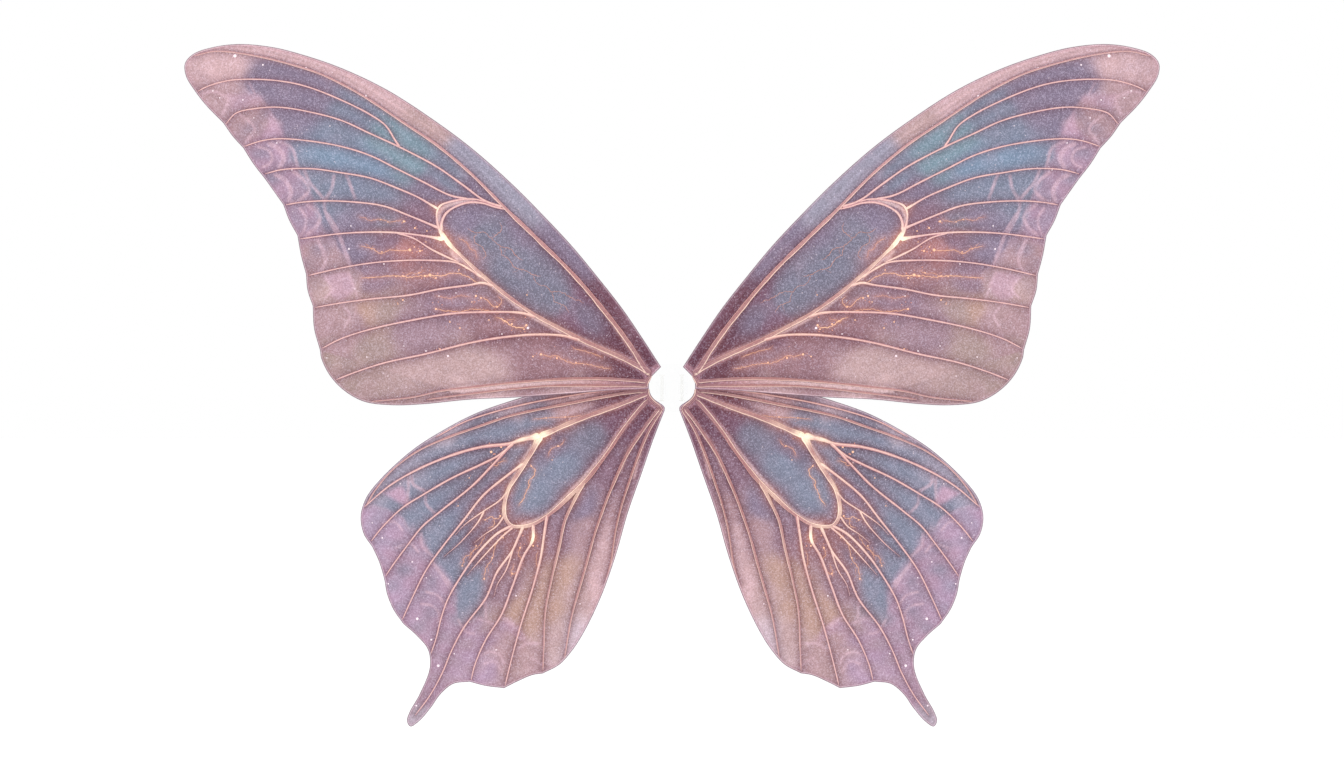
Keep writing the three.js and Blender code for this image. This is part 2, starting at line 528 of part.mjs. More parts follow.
function wingSide(side) {
  const forewing = outline(FOREWING_RUNS);
  const hindwing = outline(HINDWING_RUNS);
  const foreSparY = foreFilmRear + GAP + SPAR_RADIUS;
  const hindSparY = hindFilmRear + GAP + SPAR_RADIUS;
  const group = new THREE.Group();
  const add = (name, geometry, finish) => group.add(mesh(`${side}_${name}`, geometry, finish));

  add("forewing_film", film(forewing, foreFilmFront), materials.film);
  add("forewing_edge", edge(forewing, foreFilmFront), materials.edge);
  add("forewing_veins", veins(FOREWING_VEINS, forewing, foreVeinBase), materials.vein);
  add("forewing_leading_spar", rod(SPARS.forewing.leading, foreSparY), materials.spar);
  add("forewing_trailing_spar", rod(SPARS.forewing.trailing, foreSparY), materials.spar);
  add("forewing_root_plate", forewingRootPlate(), materials.clear);

  add("hindwing_film", film(hindwing, hindFilmFront), materials.film);
  add("hindwing_edge", edge(hindwing, hindFilmFront), materials.edge);
  add("hindwing_veins", veins(HINDWING_VEINS, hindwing, hindVeinBase), materials.vein);
  add("hindwing_upper_spar", rod(SPARS.hindwing.upper, hindSparY), materials.spar);
  add("hindwing_lower_spar", rod(SPARS.hindwing.lower, hindSparY), materials.spar);
  add("hindwing_root_plate", hindwingRootPlate(), materials.clear);

  add("carrier", carrier(), materials.clear);
  add("hinge_pin", hingePin(), materials.nylon);
  add("hinge_pin_clip", pinClip(), materials.nylon);
  const pivotTip = hindPlateFront + GAP;
  add("pivot_screw", screw(PIVOT, PIVOT_RADIUS, PIVOT_HEAD, pivotTip), materials.steel);
  add("pivot_washer", ring(PIVOT, pivotHole, WASHER.radius, washerRear - WASHER.thickness, washerRear),
    materials.nylon);
  Object.entries(SPACERS).forEach(([level, place]) => {
    const [front, rear] = [forePlateRear + RUNNING_GAP, carrierFront - RUNNING_GAP];
    add(`${level}_spacer`, ring(place, screwHole, SPACER_RADIUS, front, rear), materials.nylon);
    add(`${level}_screw`, screw(place, SCREW_RADIUS, SCREW_HEAD, forePlateFront + GAP), materials.steel);
  });
  if (side === "left") group.scale.x = -1;
  return group;
}

const wings = new THREE.Group();
wings.add(mesh("hub", hub(), materials.clear));
wings.add(wingSide("right"), wingSide("left"));

export default wings;
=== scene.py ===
# Looks for the fairy wings: printed film, veins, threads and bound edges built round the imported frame.
import math

import bmesh
import bpy
import numpy as np
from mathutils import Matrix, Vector
from mathutils.geometry import delaunay_2d_cdt


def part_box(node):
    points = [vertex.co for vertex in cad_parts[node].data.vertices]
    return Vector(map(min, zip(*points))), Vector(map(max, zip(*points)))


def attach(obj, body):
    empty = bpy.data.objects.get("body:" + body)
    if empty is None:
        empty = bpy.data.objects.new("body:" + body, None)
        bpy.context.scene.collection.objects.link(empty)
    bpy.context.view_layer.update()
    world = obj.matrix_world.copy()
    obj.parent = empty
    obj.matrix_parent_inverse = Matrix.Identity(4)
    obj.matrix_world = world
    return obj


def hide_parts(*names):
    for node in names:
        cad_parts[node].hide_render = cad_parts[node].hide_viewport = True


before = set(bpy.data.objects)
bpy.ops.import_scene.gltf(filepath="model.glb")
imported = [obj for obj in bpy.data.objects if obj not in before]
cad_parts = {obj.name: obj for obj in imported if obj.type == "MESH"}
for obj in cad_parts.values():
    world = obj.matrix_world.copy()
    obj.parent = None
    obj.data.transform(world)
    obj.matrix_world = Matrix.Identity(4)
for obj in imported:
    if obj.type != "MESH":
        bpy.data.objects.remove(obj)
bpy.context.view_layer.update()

MM = 0.001

# ---- Sizes, in millimetres ----
EDGE_WIDTH = 1.8
EDGE_THICKNESS = 1.7
FILM_STEP = 1.6  # spacing of the printed side's points
BACK_STEP = 2.6  # spacing of the back's points
BILLOW = 0.9  # how far the film bows out between its veins
BILLOW_REACH = 9.0  # how far from a vein or the edge the bow is nearly full
FILM_THICKNESS = 0.5
FILM_INSET = 0.9  # from the outline to the film's own cut edge
ROOT = (20, 0)  # where the veins meet


def scallops(ends, bulges):
    """Shallow curves from one vein's end to the next, each bulging outwards by its own amount."""
    runs = []
    for a, b, bulge in zip(ends, ends[1:], bulges):
        a, b = np.array(a, float), np.array(b, float)
        along = (b - a) / np.linalg.norm(b - a)
        middle = (a + b) / 2 + bulge * np.array([-along[1], along[0]])
        runs.append([a.tolist(), middle.tolist(), b.tolist()])
    return runs


# ---- Outlines and veins, on the right side: (x, z) ----
FORE_VEINS = {
    "root_web": [5, 4.5, [[14, 19], [19, 14.5], [24.5, 8], [25.8, 1.5]]],
    "subcosta": [5.2, 1.8, [[20, 12], [28, 20.5], [40.6, 41], [59.3, 66.5], [79.3, 91], [100, 114.6],
        [130.6, 145.1], [165, 178], [200, 213.3], [233, 241.3], [270, 266.3], [310, 292.7],
        [350, 313.3], [390, 326], [425, 333.6], [457, 336.6], [478, 332]]],
    "cubitus": [5, 3.4, [[22, 15], [50, 30.1], [80.6, 43.7], [116, 61.4], [145, 78], [187.7, 110.9],
        [209, 130.7], [224, 145.5], [230.5, 157]]],
    "cell_end": [3.2, 2.4, [[230.5, 157], [230.4, 165], [226, 174.5], [216, 181.5], [203, 185.5],
        [190, 185], [178, 181.3], [166, 178.5]]],
    "cell_outer": [3, 2.2, [[227, 148], [232.6, 158.5], [235, 168], [235, 176], [231.5, 182.4],
        [222, 186.2], [208, 188.6], [196, 188.6], [186, 185.8]]],
    "radius_1": [2.8, 1.7, [[170, 181], [187.3, 187.3], [208.7, 202.7], [235.3, 221.3], [272, 240.7],
        [302, 254.5], [330, 267.3], [360, 275.5], [393, 280.7], [417, 279.3], [436, 274.7], [446, 264]]],
    "radius_2": [2.4, 1.7, [[272, 240.7], [277, 248], [286, 262], [300, 272.3], [330, 287.6],
        [365, 301.3], [390, 306.7], [420, 308.7], [444, 307.3], [465, 301.3], [476, 295.5]]],
    "radius_3": [2.6, 1.7, [[203, 188.6], [222, 192.7], [248.7, 206], [275.3, 219.3], [302, 232.5],
        [330, 241.3], [365, 247.3], [393, 249.2], [410, 247.2], [428, 241.5]]],
    "radius_4": [2.6, 1.7, [[233, 178.5], [240, 182.6], [254, 190.7], [275.3, 200], [302, 210],
        [330, 215.1], [361, 219.3], [390, 218.3], [409, 213.5]]],
    "media_1": [2.8, 1.7, [[232.5, 159.7], [262, 172], [288.7, 182], [318.7, 186], [350, 187.1],
        [372, 185.5], [388, 182.8]]],
    "media_2": [3, 1.7, [[228, 148.6], [245, 151.6], [273.4, 155.1], [300, 155.9], [330.6, 154.4],
        [359, 150.9], [374, 148.7]]],
    "media_link": [2, 2.2, [[276, 155.2], [259, 150], [240.6, 138.7], [225, 131], [213.4, 125.9]]],
    "media_3": [2.4, 1.7, [[190, 110.5], [203, 119], [216, 125.4], [245, 127.7], [273, 127.3],
        [300, 125.1], [330.6, 120.1], [366, 112]]],
    "cubitus_1": [2.8, 1.7, [[178, 102], [190, 105.2], [202, 103], [233.4, 98.7], [262, 93],
        [300, 89.1], [330.6, 85.1], [359, 80.1]]],
    "cubitus_2": [3, 1.8, [[136, 71], [150, 75], [187.7, 75.9], [220, 74.4], [259, 68], [300, 59.1],
        [330.6, 49.4], [352, 38.5]]],
    "cubitus_3": [3.2, 1.8, [[92, 48], [109, 52.3], [137.7, 53.4], [173.4, 50.1], [202, 45.1],
        [244.9, 34.4], [287.7, 25.1], [316.3, 15.9], [338, 7.5]]],
    "anal_upper": [3.4, 1.6, [[25, 6.5], [66, 9.2], [109, 9], [152, 5.9], [200, 0.9], [230.6, -2.7],
        [259, -9.1], [300, -13.4]]],
    "anal_lower": [3, 1.6, [[25.5, 2.2], [60, 2.4], [116, 2.4], [150, 0], [200, -5.5], [245, -11.5]]],
}
HIND_VEINS = {
    "root_web": [5, 4, [[25.8, 0.5], [24.5, -7], [19.5, -13.5], [11.5, -20], [9, -24]]],
    "costa": [2.4, 1.4, [[26, -1], [60, -2], [85, -5], [100, -7.4], [139, -14.3], [180, -24.5],
        [209, -34.5], [236, -49]]],
    "subcosta": [3.4, 1.6, [[25, -2.5], [50, -5.6], [82, -11.3], [117.7, -18.4], [160.6, -27.5],
        [200, -40.7], [230, -51.6], [256, -64], [280, -82], [297, -102], [306, -117]]],
    "stem": [4.6, 5, [[24.5, -5], [42, -12.7], [64.9, -21.3], [100, -34.1], [120.6, -43.5],
        [134, -48.5]]],
    "radius": [4.4, 1.7, [[132, -48], [150, -51.5], [163, -55.8], [188.7, -58.7], [215, -65.5],
        [250, -79.3], [282, -97.3], [308, -119]]],
    "media_1": [3, 1.7, [[158, -54.5], [172, -66.5], [190, -76], [220, -90], [250, -107.3],
        [270, -120], [290, -139.3], [301, -153]]],
    "media_2": [3, 1.7, [[160, -55.5], [180, -77.5], [200, -98], [230, -122], [250, -138.7],
        [263, -155], [278, -175.3], [288, -190]]],
    "cell": [4.4, 4, [[132, -47], [139, -62], [153.4, -84.9], [163.4, -100.6], [167.6, -114],
        [167.5, -128], [161, -137.5], [150, -138.6], [139, -136.3], [119, -123.4], [100, -106.3],
        [82, -87.7], [64.9, -64.9], [47.7, -39.9], [32, -20.6], [23, -11]]],
    "media_3": [3, 1.7, [[148, -75], [162, -85.3], [188.7, -107.3], [207.3, -130.7], [230, -159.3],
        [246, -182], [260.5, -211], [270, -232]]],
    "twig_1": [2, 1.1, [[164, -103], [172.7, -112.7], [188.7, -123.3], [207.3, -136.7], [217, -147]]],
    "twig_2": [1.8, 1, [[187.7, -122.5], [194, -134], [211.3, -154], [228, -168.7]]],
    "twig_3": [2, 1, [[167.5, -127], [175.3, -138], [188.7, -147.3], [198, -155.3]]],
    "cubitus_1": [3, 1.7, [[160, -137.5], [175.3, -146], [196.7, -168], [211.3, -188.7], [224, -210.5],
        [231, -230], [236, -250], [242, -268]]],
    "twig_4": [2.2, 1.1, [[158, -138.4], [171.3, -150], [190, -170], [205.3, -187.3]]],
    "cubitus_2": [3, 1.5, [[148.7, -138], [154, -150], [160, -163], [175.3, -184.7], [186.3, -210.3],
        [208, -239.2], [220.6, -262.7], [230, -285.3], [242.5, -308], [257, -327.5]]],
    "twig_5": [2, 1.1, [[159, -161], [166, -182], [175, -197], [178, -208]]],
    "cubitus_3": [3.4, 1.7, [[139, -136.3], [139.5, -152], [148.7, -168.7], [160, -199.3],
        [170.6, -226.7], [186.3, -251.7], [197.2, -276.7], [201.5, -294]]],
    "cubitus_4": [3.2, 1.7, [[125, -127], [128, -147], [131.5, -170], [139.4, -200], [151.9, -239],
        [162, -276.7], [167.6, -300]]],
    "anal_1": [3.4, 1.7, [[88, -94], [98, -113], [107, -132], [112.5, -157], [120.6, -192],
        [126.5, -222], [128.4, -258], [129.4, -285]]],
    "anal_2": [3.6, 1.8, [[13, -20], [29, -42], [44.9, -66.3], [59, -96.3], [75.6, -140.6],
        [89, -187.7], [100.3, -228.3], [108, -272]]],
    "anal_3": [3, 1.5, [[10.5, -21], [24.9, -46.3], [41.3, -89], [54.9, -134.9], [62, -177.7],
        [67, -195]]],
}
HIND_RUNS = [
  [[23.1, 2], [60, 1], [100, -2], [135, -5.5], [167.3, -14.7], [198, -26], [230, -42.7], [260, -62],
    [292, -91.3], [306.7, -110.7], [311.7, -128.7], [308.7, -146], [300, -159.3]],
  [[300, -159.3], [293.3, -174], [288, -192], [285.5, -205.6], [279.2, -221.3], [269.1, -236.1]],
  [[269.1, -236.1], [255, -248.6], [244.4, -261.9], [242.5, -279.8], [252.7, -306.4], [262.8, -324.4],
    [265.4, -333.5], [262, -338.9], [253.4, -333.8], [241.7, -320.5], [231.6, -306.4], [219, -296.3],
    [203, -294]],
  [[203, -294], [186.3, -298.3], [168, -300.5]],
  [[168, -300.5], [155, -293.9], [140, -287.5], [129.2, -285.8]],
  [[129.2, -285.8], [112.8, -277], [100.3, -263.4], [87.8, -243.9], [70.6, -208], [56.3, -167.7],
    [44.1, -124.9], [30.6, -86.3], [17.7, -49.1], [7.4, -22.5]],
  [[7.4, -22.5], [7.6, -19], [17.7, -11.3]],
  [[17.7, -11.3], [20.6, -7.7], [23.1, -1], [23.1, 2]],
]
FORE_RUNS = [
  [[10.9, 21.1], [30, 50.6], [50, 79.9], [75, 111.8], [100, 142], [130, 174], [161, 205], [200, 239.6],
    [240, 269.3], [285, 298.2], [330, 319.7], [370, 333.5], [400, 340.9], [433, 343.9], [459, 340.8],
    [478.7, 334], [487, 324.5], [486, 312], [477.3, 297.3], [466, 282.7], [448.7, 265]],
    *scallops([[448.7, 265], [428.7, 240], [406.7, 208.7], [388.7, 183.3], [374.5, 152.5], [366, 114],
    [359.2, 82], [352, 38]], [1, 0.9, 0, 1.2, 0.8, 1.8, 2.3]),
  [[352, 38], [350.6, 29.4], [342, 12.3], [327.7, -2.7], [307.7, -13.7], [280, -17.2], [250, -16.3],
    [202, -11.6], [155, -9.4], [100, -5.5], [60, -2.5], [23.1, -1]],
  [[23.1, -1], [23.1, 8.6]],
  [[23.1, 8.6], [10.9, 21.1]],
]

# Veins that read as bundles: how many fine strands lie on each
STRANDS = {"subcosta": 2, "cubitus": 2, "anal_upper": 3, "anal_lower": 3, "root_web": 3, "stem": 2, "cell": 2,
           "anal_1": 2, "anal_2": 2, "anal_3": 2}

# ---- The print: its inks, sRGB 0-255, where they pool, and where the margin begins ----
INKS = {
    "wine": (110, 71, 86), "maroon": (98, 60, 78), "mulberry": (122, 90, 112), "dusk": (118, 104, 124),
    "slate": (118, 116, 134), "heather": (130, 116, 138), "steel": (124, 130, 150), "teal": (122, 146, 160),
    "azure": (124, 144, 168), "mist": (152, 148, 166), "grape": (134, 104, 122), "thistle": (146, 118, 134),
    "rosewood": (152, 114, 122), "coral": (176, 124, 126), "mauve": (158, 128, 140), "rose": (174, 140, 146),
    "sand": (168, 142, 138), "shell": (188, 156, 156), "ochre": (186, 150, 138), "blush": (206, 170, 174),
    "petal": (232, 198, 198), "lilac": (170, 138, 160), "orchid": (178, 148, 174), "pearl": (208, 186, 196),
    "cloud": (190, 178, 192),
}

FORE_POOLS = {
    "wine": [(20, 16)],
    "maroon": [(45, 50), (48, 36)],
    "mulberry": [(80, 98), (100, 60)],
    "dusk": [(85, 70)],
    "slate": [(120, 90), (160, 118), (190, 150), (290, 162)],
    "heather": [(140, 165), (206, 168), (195, 205), (240, 196), (370, 284), (405, 300), (320, 140),
        (362, 292), (302, 168), (384, 298)],
    "steel": [(225, 212), (330, 262), (300, 198), (345, 204), (350, 206), (320, 272)],
    "teal": [(262, 228), (285, 246)],
    "azure": [(300, 222), (340, 232)],
    "mist": [(200, 222)],
    "grape": [(250, 168), (285, 150)],
    "thistle": [(300, 108), (230, 86)],
    "rosewood": [(245, 114), (180, 62), (80, 26), (130, 32), (107, 19)],
    "coral": [(262, 140)],
    "mauve": [(250, 48), (262, 62), (206, 138)],
    "rose": [(318, 66), (320, 8), (335, 50)],
    "sand": [(290, 76), (300, 36)],
    "shell": [(200, 22), (270, 6), (242, 18)],
    "ochre": [(302, 78)],
    "blush": [(450, 322)],
    "petal": [(100, 2), (200, -7)],
}
FORE_MARGIN_POOLS = {
    "rose": [(460, 300), (425, 270), (355, 130), (350, 62)],
    "sand": [(345, 35)],
    "shell": [(345, 98)],
    "blush": [(455, 325)],
    "lilac": [(400, 235), (385, 200), (365, 165)],
}
FORE_MARGIN = [
    (478, 345), (470, 318), (452, 304), (430, 300), (409, 288), (402, 276), (389, 256), (384, 244),
    (374, 220), (366, 204), (360, 190), (354, 170), (346, 152), (330, 136), (322, 124), (312, 112),
    (313, 92), (316, 80), (322, 62), (334, 46), (352, 38),
]
LEADING_POOLS = {
    "wine": [(60, 75)],
    "maroon": [(18, 20)],
    "heather": [(110, 135)],
    "mist": [(160, 185), (205, 228)],
    "shell": [(245, 262)],
    "blush": [(290, 295), (360, 322), (430, 338), (480, 332)],
}
HIND_POOLS = {
    "wine": [(15, -12), (50, -9)],
    "mulberry": [(55, -30), (28, -46)],
    "dusk": [(120, -60), (190, -158)],
    "slate": [(80, -50), (200, -90), (190, -64)],
    "heather": [(180, -112), (90, -118)],
    "steel": [(110, -78), (140, -105), (180, -46), (225, -76), (250, -118), (162, -37), (140, -36),
        (225, -148), (205, -195), (268, -112), (206, -54)],
    "mist": [(270, -84), (292, -100)],
    "grape": [(60, -82)],
    "thistle": [(120, -150), (40, -70)],
    "rosewood": [(150, -152)],
    "mauve": [(170, -200), (40, -92)],
    "rose": [(82, -142), (55, -125)],
    "shell": [(115, -250), (95, -200)],
    "ochre": [(150, -225), (128, -222), (108, -190)],
    "blush": [(100, -13), (75, -198), (60, -150)],
    "pearl": [(160, -24), (100, -252)],
    "cloud": [(224, -42)],
}
HIND_MARGIN_POOLS = {
    "rose": [(160, -278), (135, -278)],
    "lilac": [(270, -170), (245, -205), (235, -245), (205, -245), (250, -300)],
    "orchid": [(300, -118), (296, -145), (275, -212), (190, -282)],
    "cloud": [(260, -332)],
}
HIND_MARGIN = [
    (330, -112), (306, -118), (288, -122), (268, -134), (251, -148), (243, -164), (236, -178), (220, -200),
    (216, -222), (213, -238), (197, -231), (179, -236), (169, -230), (155, -240), (140, -254), (118, -282),
]

# Rosy membrane beside and between the veins' lines: width at the start, width at the end, route
FORE_WEBS = [
    (4, 4, [(231, 156), (233.5, 166), (232, 177), (225, 182), (212, 186), (198, 187)]),
    (9, 4.5, [(22, 12), (32, 21), (52, 31), (80, 43), (116, 60), (145, 76), (187, 109), (212, 131)]),
    (5, 4, [(212, 131), (221, 137), (214, 127)]),
    (8, 3, [(20, 11), (27, 20), (36, 33), (54, 58), (74, 86)]),
    (11, 6, [(20, 2), (40, 3), (70, 3), (110, 5), (170, 2), (220, -2)]),
    (13, 15, [(12, 19), (18, 14), (22, 8), (23, 0), (21, -7)]),
]
HIND_WEBS = [
    (8, 6, [(24, -5), (34, -9), (52, -17), (65, -21), (100, -34), (130, -47), (146, -50)]),
    (4, 3, [(136, -52), (146, -68), (160, -92), (166, -108)]),
    (7, 4.5, [(24, -12), (34, -22), (52, -44), (66, -64), (100, -103), (130, -130), (150, -137)]),
    (9, 5, [(25, -2), (45, 0), (70, -3), (100, -9)]),
    (7, 3, [(14, -24), (24, -36), (42, -60), (52, -84)]),
    (5, 2.5, [(10, -24), (18, -34), (30, -60), (38, -90)]),
    (11, 14, [(9, -20), (15, -16), (20, -11), (24, -5), (25, 3)]),
]

# Pale lines in the margin's print: width, then route
FORE_LINES = [
    (1.6, [(468, 295), (458, 296.5), (445, 291)]), (1.7, [(444, 291), (445, 282), (449, 274)]),
    (1.3, [(432, 273), (423, 267), (417, 259), (422, 251), (427, 244)]),
    (1.3, [(413, 241), (404, 238), (399.6, 230), (404, 223), (409, 221)]),
    (3.2, [(402, 244), (394, 240), (388, 230), (392, 221)]),
    (1.6, [(394, 247), (380, 240), (376, 228), (374, 220)]),
    (3.0, [(396, 213), (387, 208), (381, 197), (383, 187)]),
    (2.2, [(378, 216), (368, 208), (363, 198), (372, 188), (380, 185)]),
    (1.7, [(368, 218), (362, 206), (355, 197), (348, 189)]), (1.8, [(338, 212), (340, 200), (347, 188)]),
    (1.6, [(326, 214), (322, 204), (317, 190)]), (1.8, [(348, 188), (347, 178), (340, 162), (331, 150)]),
    (1.2, [(372, 180), (366, 170), (368, 157), (372, 151)]),
    (2.2, [(364, 183), (352, 172), (355, 162), (365, 153)]), (1.2, [(354, 147), (348, 132)]),
    (2.4, [(345, 174), (334, 156), (328, 140), (322, 124)]),
    (1.6, [(354, 148), (346, 132), (349, 120), (357, 114)]), (1.0, [(346, 110), (340, 98), (347, 90)]),
    (1.0, [(324, 116), (319, 104), (314, 90)]), (0.9, [(423, 305), (420, 300), (417, 294)]),
    (0.8, [(330, 84), (322, 72), (328, 60)]),
]
HIND_LINES = [
    (1.6, [(264, -88), (264, -102), (266, -118)]), (1.8, [(261, -88), (259, -96), (248, -103)]),
    (1.5, [(247, -108), (246, -116), (238, -125)]), (1.5, [(251, -146), (250, -158), (240, -168)]),
    (1.6, [(240, -174), (232, -184), (222, -196)]), (1.0, [(238, -178), (228, -192), (219, -206)]),
    (1.0, [(251, -216), (240, -218), (233, -226), (234, -234)]),
    (1.0, [(246, -204), (234, -208), (226, -220)]), (1.2, [(214, -232), (206, -244), (198, -246)]),
    (1.6, [(200, -231), (190, -232), (180, -236)]), (1.4, [(187, -212), (186.5, -222), (186, -230)]),
    (2.0, [(170, -230), (163, -234), (155, -241), (152, -250)]),
    (1.2, [(155, -262), (145, -256), (131, -256)]),
    (0.9, [(192, -268), (182, -264), (172, -268), (168, -276)]),
    (0.9, [(188, -276), (178, -274), (170, -284)]), (0.9, [(142, -270), (134, -274), (128, -280)]),
    (1.0, [(290, -136), (278, -134), (270, -142)]), (0.9, [(276, -160), (262, -156), (254, -164)]),
]
# Pink patches in the margin's print: strength, then the corners
FORE_PATCHES = [
    (0.55, [(402, 276), (394, 264), (389, 255), (396, 251), (409, 250), (404, 262)]),
    (0.35, [(444, 294), (409, 291), (412, 283), (426, 281), (440, 278)]),
    (0.3, [(398, 240), (390, 236), (386, 226), (394, 222), (398, 230)]),
    (0.5, [(350, 112), (324, 115), (318, 98), (330, 88), (341, 92), (342, 102)]),
]
HIND_PATCHES = [
    (0.8, [(288, -105), (270, -99), (264, -118), (274, -114)]),
    (0.25, [(240, -168), (229, -180), (214, -206), (226, -206), (238, -190)]),
    (0.4, [(170, -229), (152, -240), (146, -254), (160, -246)]),
]

# Where the veins glow: (x, z, spread, strength)
FORE_GLOWS = [
    (226, 147, 12, 1.0), (218, 136, 9, 0.6), (235, 180, 8, 0.55), (190, 108, 9, 0.4), (262, 138, 8, 0.45),
    (238, 112, 9, 0.5), (272, 110, 14, 0.3), (150, 66, 14, 0.35), (180, 95, 12, 0.3), (206, 123, 10, 0.4),
    (290, 164, 16, 0.25), (120, 62, 30, 0.2), (60, 32, 22, 0.12),
]
HIND_GLOWS = [
    (131, -49, 11, 1.0), (150, -54, 9, 0.6), (108, -37, 14, 0.35), (164, -100, 12, 0.5),
    (166, -122, 12, 0.48), (150, -137, 12, 0.45), (139, -150, 7, 0.95), (185, -130, 20, 0.35),
    (176, -160, 24, 0.35), (150, -75, 12, 0.45), (100, -104, 18, 0.4), (60, -20, 22, 0.12),
    (128, -160, 18, 0.3),
]

# Fine glowing threads in the print: width, then route
FORE_THREADS = [
    (1.1, [(311, 142), (300, 139), (290, 135), (282, 138), (269, 137), (262, 138)]),
    (1.2, [(310, 110), (294, 111), (276, 112), (257, 111), (242, 113), (230, 112), (219, 115),
        (208, 113), (194.5, 105.4)]),
    (0.8, [(268, 111.5), (262, 115), (256, 114.5), (247, 117)]),
    (1.1, [(236, 79), (225, 77), (211, 76.5), (199, 78.7), (178, 76.7)]),
    (1.4, [(176, 71), (167.7, 67.3), (160.6, 62.3), (152, 60), (146, 62.5)]),
    (0.8, [(167, 67), (163, 68.6), (157, 68)]),
    (1.0, [(131, 33.7), (123, 31.5), (116, 32), (109, 28.7), (100, 25), (87.7, 24.4), (73.4, 21),
        (62, 19.2)]),
    (1.0, [(99, 39.4), (89, 37.3), (79, 34.4), (70, 31)]),
    (1.0, [(191, 90), (185, 88.4), (181, 84), (177, 81), (172, 83), (170, 88), (174, 92)]),
    (0.7, [(312, 171), (302, 168), (292, 168.5), (281, 166), (270, 168.5)]),
    (0.7, [(236, 92), (222, 90), (210, 92.5), (202, 91)]),
    (0.6, [(205, 160), (196, 155), (188, 156), (181, 150), (172, 142), (160, 138), (154, 130), (148, 128)]),
    (0.6, [(172, 142), (170, 133), (164, 130), (158, 121), (148, 118), (140.6, 114), (130.6, 112)]),
    (0.6, [(140, 114), (134, 104), (125, 101), (120, 96), (111, 96), (102, 91), (88, 85)]),
    (0.6, [(196, 155), (197, 146), (190, 141), (186, 133), (190, 128)]),
    (0.6, [(181, 150), (176, 153), (170, 160), (172, 166)]),
    (0.6, [(120, 96), (117, 87), (108, 82), (103, 75)]),
    (0.8, [(213, 150), (206, 146), (201, 139), (197, 137), (195, 130)]),
]
HIND_THREADS = [
    (1.2, [(141, -78), (137.5, -82), (138, -87), (143.4, -93.4), (143, -99), (146, -103), (147.7, -109),
        (153.4, -117.7)]),
    (0.8, [(90.6, -27.7), (104, -29), (118, -29.5), (139, -31.3)]),
    (0.9, [(181, -75), (176, -78), (172, -74), (166, -73)]),
    (1.1, [(170, -128), (176, -131), (181, -129), (187, -132)]),
    (1.0, [(178, -131), (179, -138), (184, -140)]),
    (1.0, [(165, -143), (172, -150), (178, -161), (180, -170), (186, -180), (188, -191)]),
    (0.9, [(151, -158), (154, -166), (150, -173), (154, -183), (160, -186), (158, -176)]),
    (0.9, [(196, -158), (201, -166), (208, -170), (210, -178)]),
    (0.8, [(187, -147), (193, -158), (199, -163), (203, -172)]),
    (0.8, [(134, -163), (136, -174), (134, -184), (138, -190)]),
    (0.8, [(108, -52), (113, -58), (120, -60), (124, -68)]),
]
# Beads: x, z, radius
FORE_BEADS = [
    (262, 138, 2.0), (252, 137, 1.5), (257.5, 141, 0.9), (242, 113, 2.0), (247, 112, 1.5), (253, 115, 1.0),
    (236, 110, 1.2), (269, 112, 1.1), (276, 111.5, 0.9), (236, 79, 1.4), (145.5, 62.8, 1.5),
    (148, 58.8, 1.1), (160, 64, 1.3), (167, 67, 1.2), (183, 68, 1.0), (174, 75, 0.8), (131, 33.6, 1.5),
    (139, 31.5, 1.1), (115, 30, 1.3), (196, 92, 1.5), (191, 90, 1.2), (200, 86, 0.9), (175, 81, 1.1),
    (262, 93, 0.9), (269, 88, 1.2), (274, 84, 0.8), (268, 166.5, 1.5), (257, 160, 1.3), (284, 166, 0.8),
    (291, 168.5, 0.8), (246, 146, 0.8), (245, 157, 1.0), (222, 66, 1.0), (212, 60, 1.1), (232, 39, 1.0),
    (96, 25.5, 1.1), (290, 136, 1.0), (300, 139, 0.8), (213, 118, 0.9), (226, 40, 0.8), (145, 93, 0.9),
]
HIND_BEADS = [
    (181, -64, 1.7), (171, -59, 1.5), (139.5, -151, 2.2), (139, -158, 1.2), (118, -44, 1.3),
    (107, -29, 1.0), (114, -58, 1.1), (187, -132, 1.0), (172, -128, 1.2), (188, -191, 1.2),
    (160, -186, 1.2), (152, -160, 1.3), (210, -178, 1.0), (180, -170, 1.1), (126, -30, 0.9),
    (196, -158, 1.0), (141, -78, 1.1), (203, -90, 0.9), (120, -72, 0.8), (214, -118, 0.8), (169, -150, 0.9),
    (184, -204, 0.9),
]
# Pale stars on the print: x, z, radius
FORE_STARS = [
    (437, 332, 2.2), (409, 323, 1.2), (366, 320, 1.1), (306, 292, 1.1), (429, 288, 1.0), (459, 297, 1.0),
    (452, 290, 0.9), (418, 270, 0.9), (342, 262, 0.7), (323, 139, 1.2), (321, 162, 0.9), (216, 95, 0.8),
    (233, 92, 0.9), (246, 37, 1.0), (268, 42, 0.8), (224, 32, 1.4), (170, 54, 0.9), (305, 31, 0.9),
    (317, 99, 0.8), (380, 218, 0.8), (345, 30, 0.8), (284, 12, 0.8), (144, 60, 1.7), (288, 124, 0.9),
    (395, 245, 0.9),
]
HIND_STARS = [
    (260, -174, 1.0), (255, -231, 1.8), (234, -278, 1.8), (290, -150, 1.1), (241, -252, 1.2),
    (156, -208, 1.0), (284, -196, 1.0), (277, -228, 0.9), (128, -243, 1.1), (256, -318, 1.2),
    (148, -165, 0.8), (218, -266, 0.9), (300, -135, 0.8), (176, -262, 0.9), (272, -96, 0.8),
    (175, -30, 0.9), (92, -216, 0.8), (246, -190, 0.8),
]


# ---- Lines and distances ----


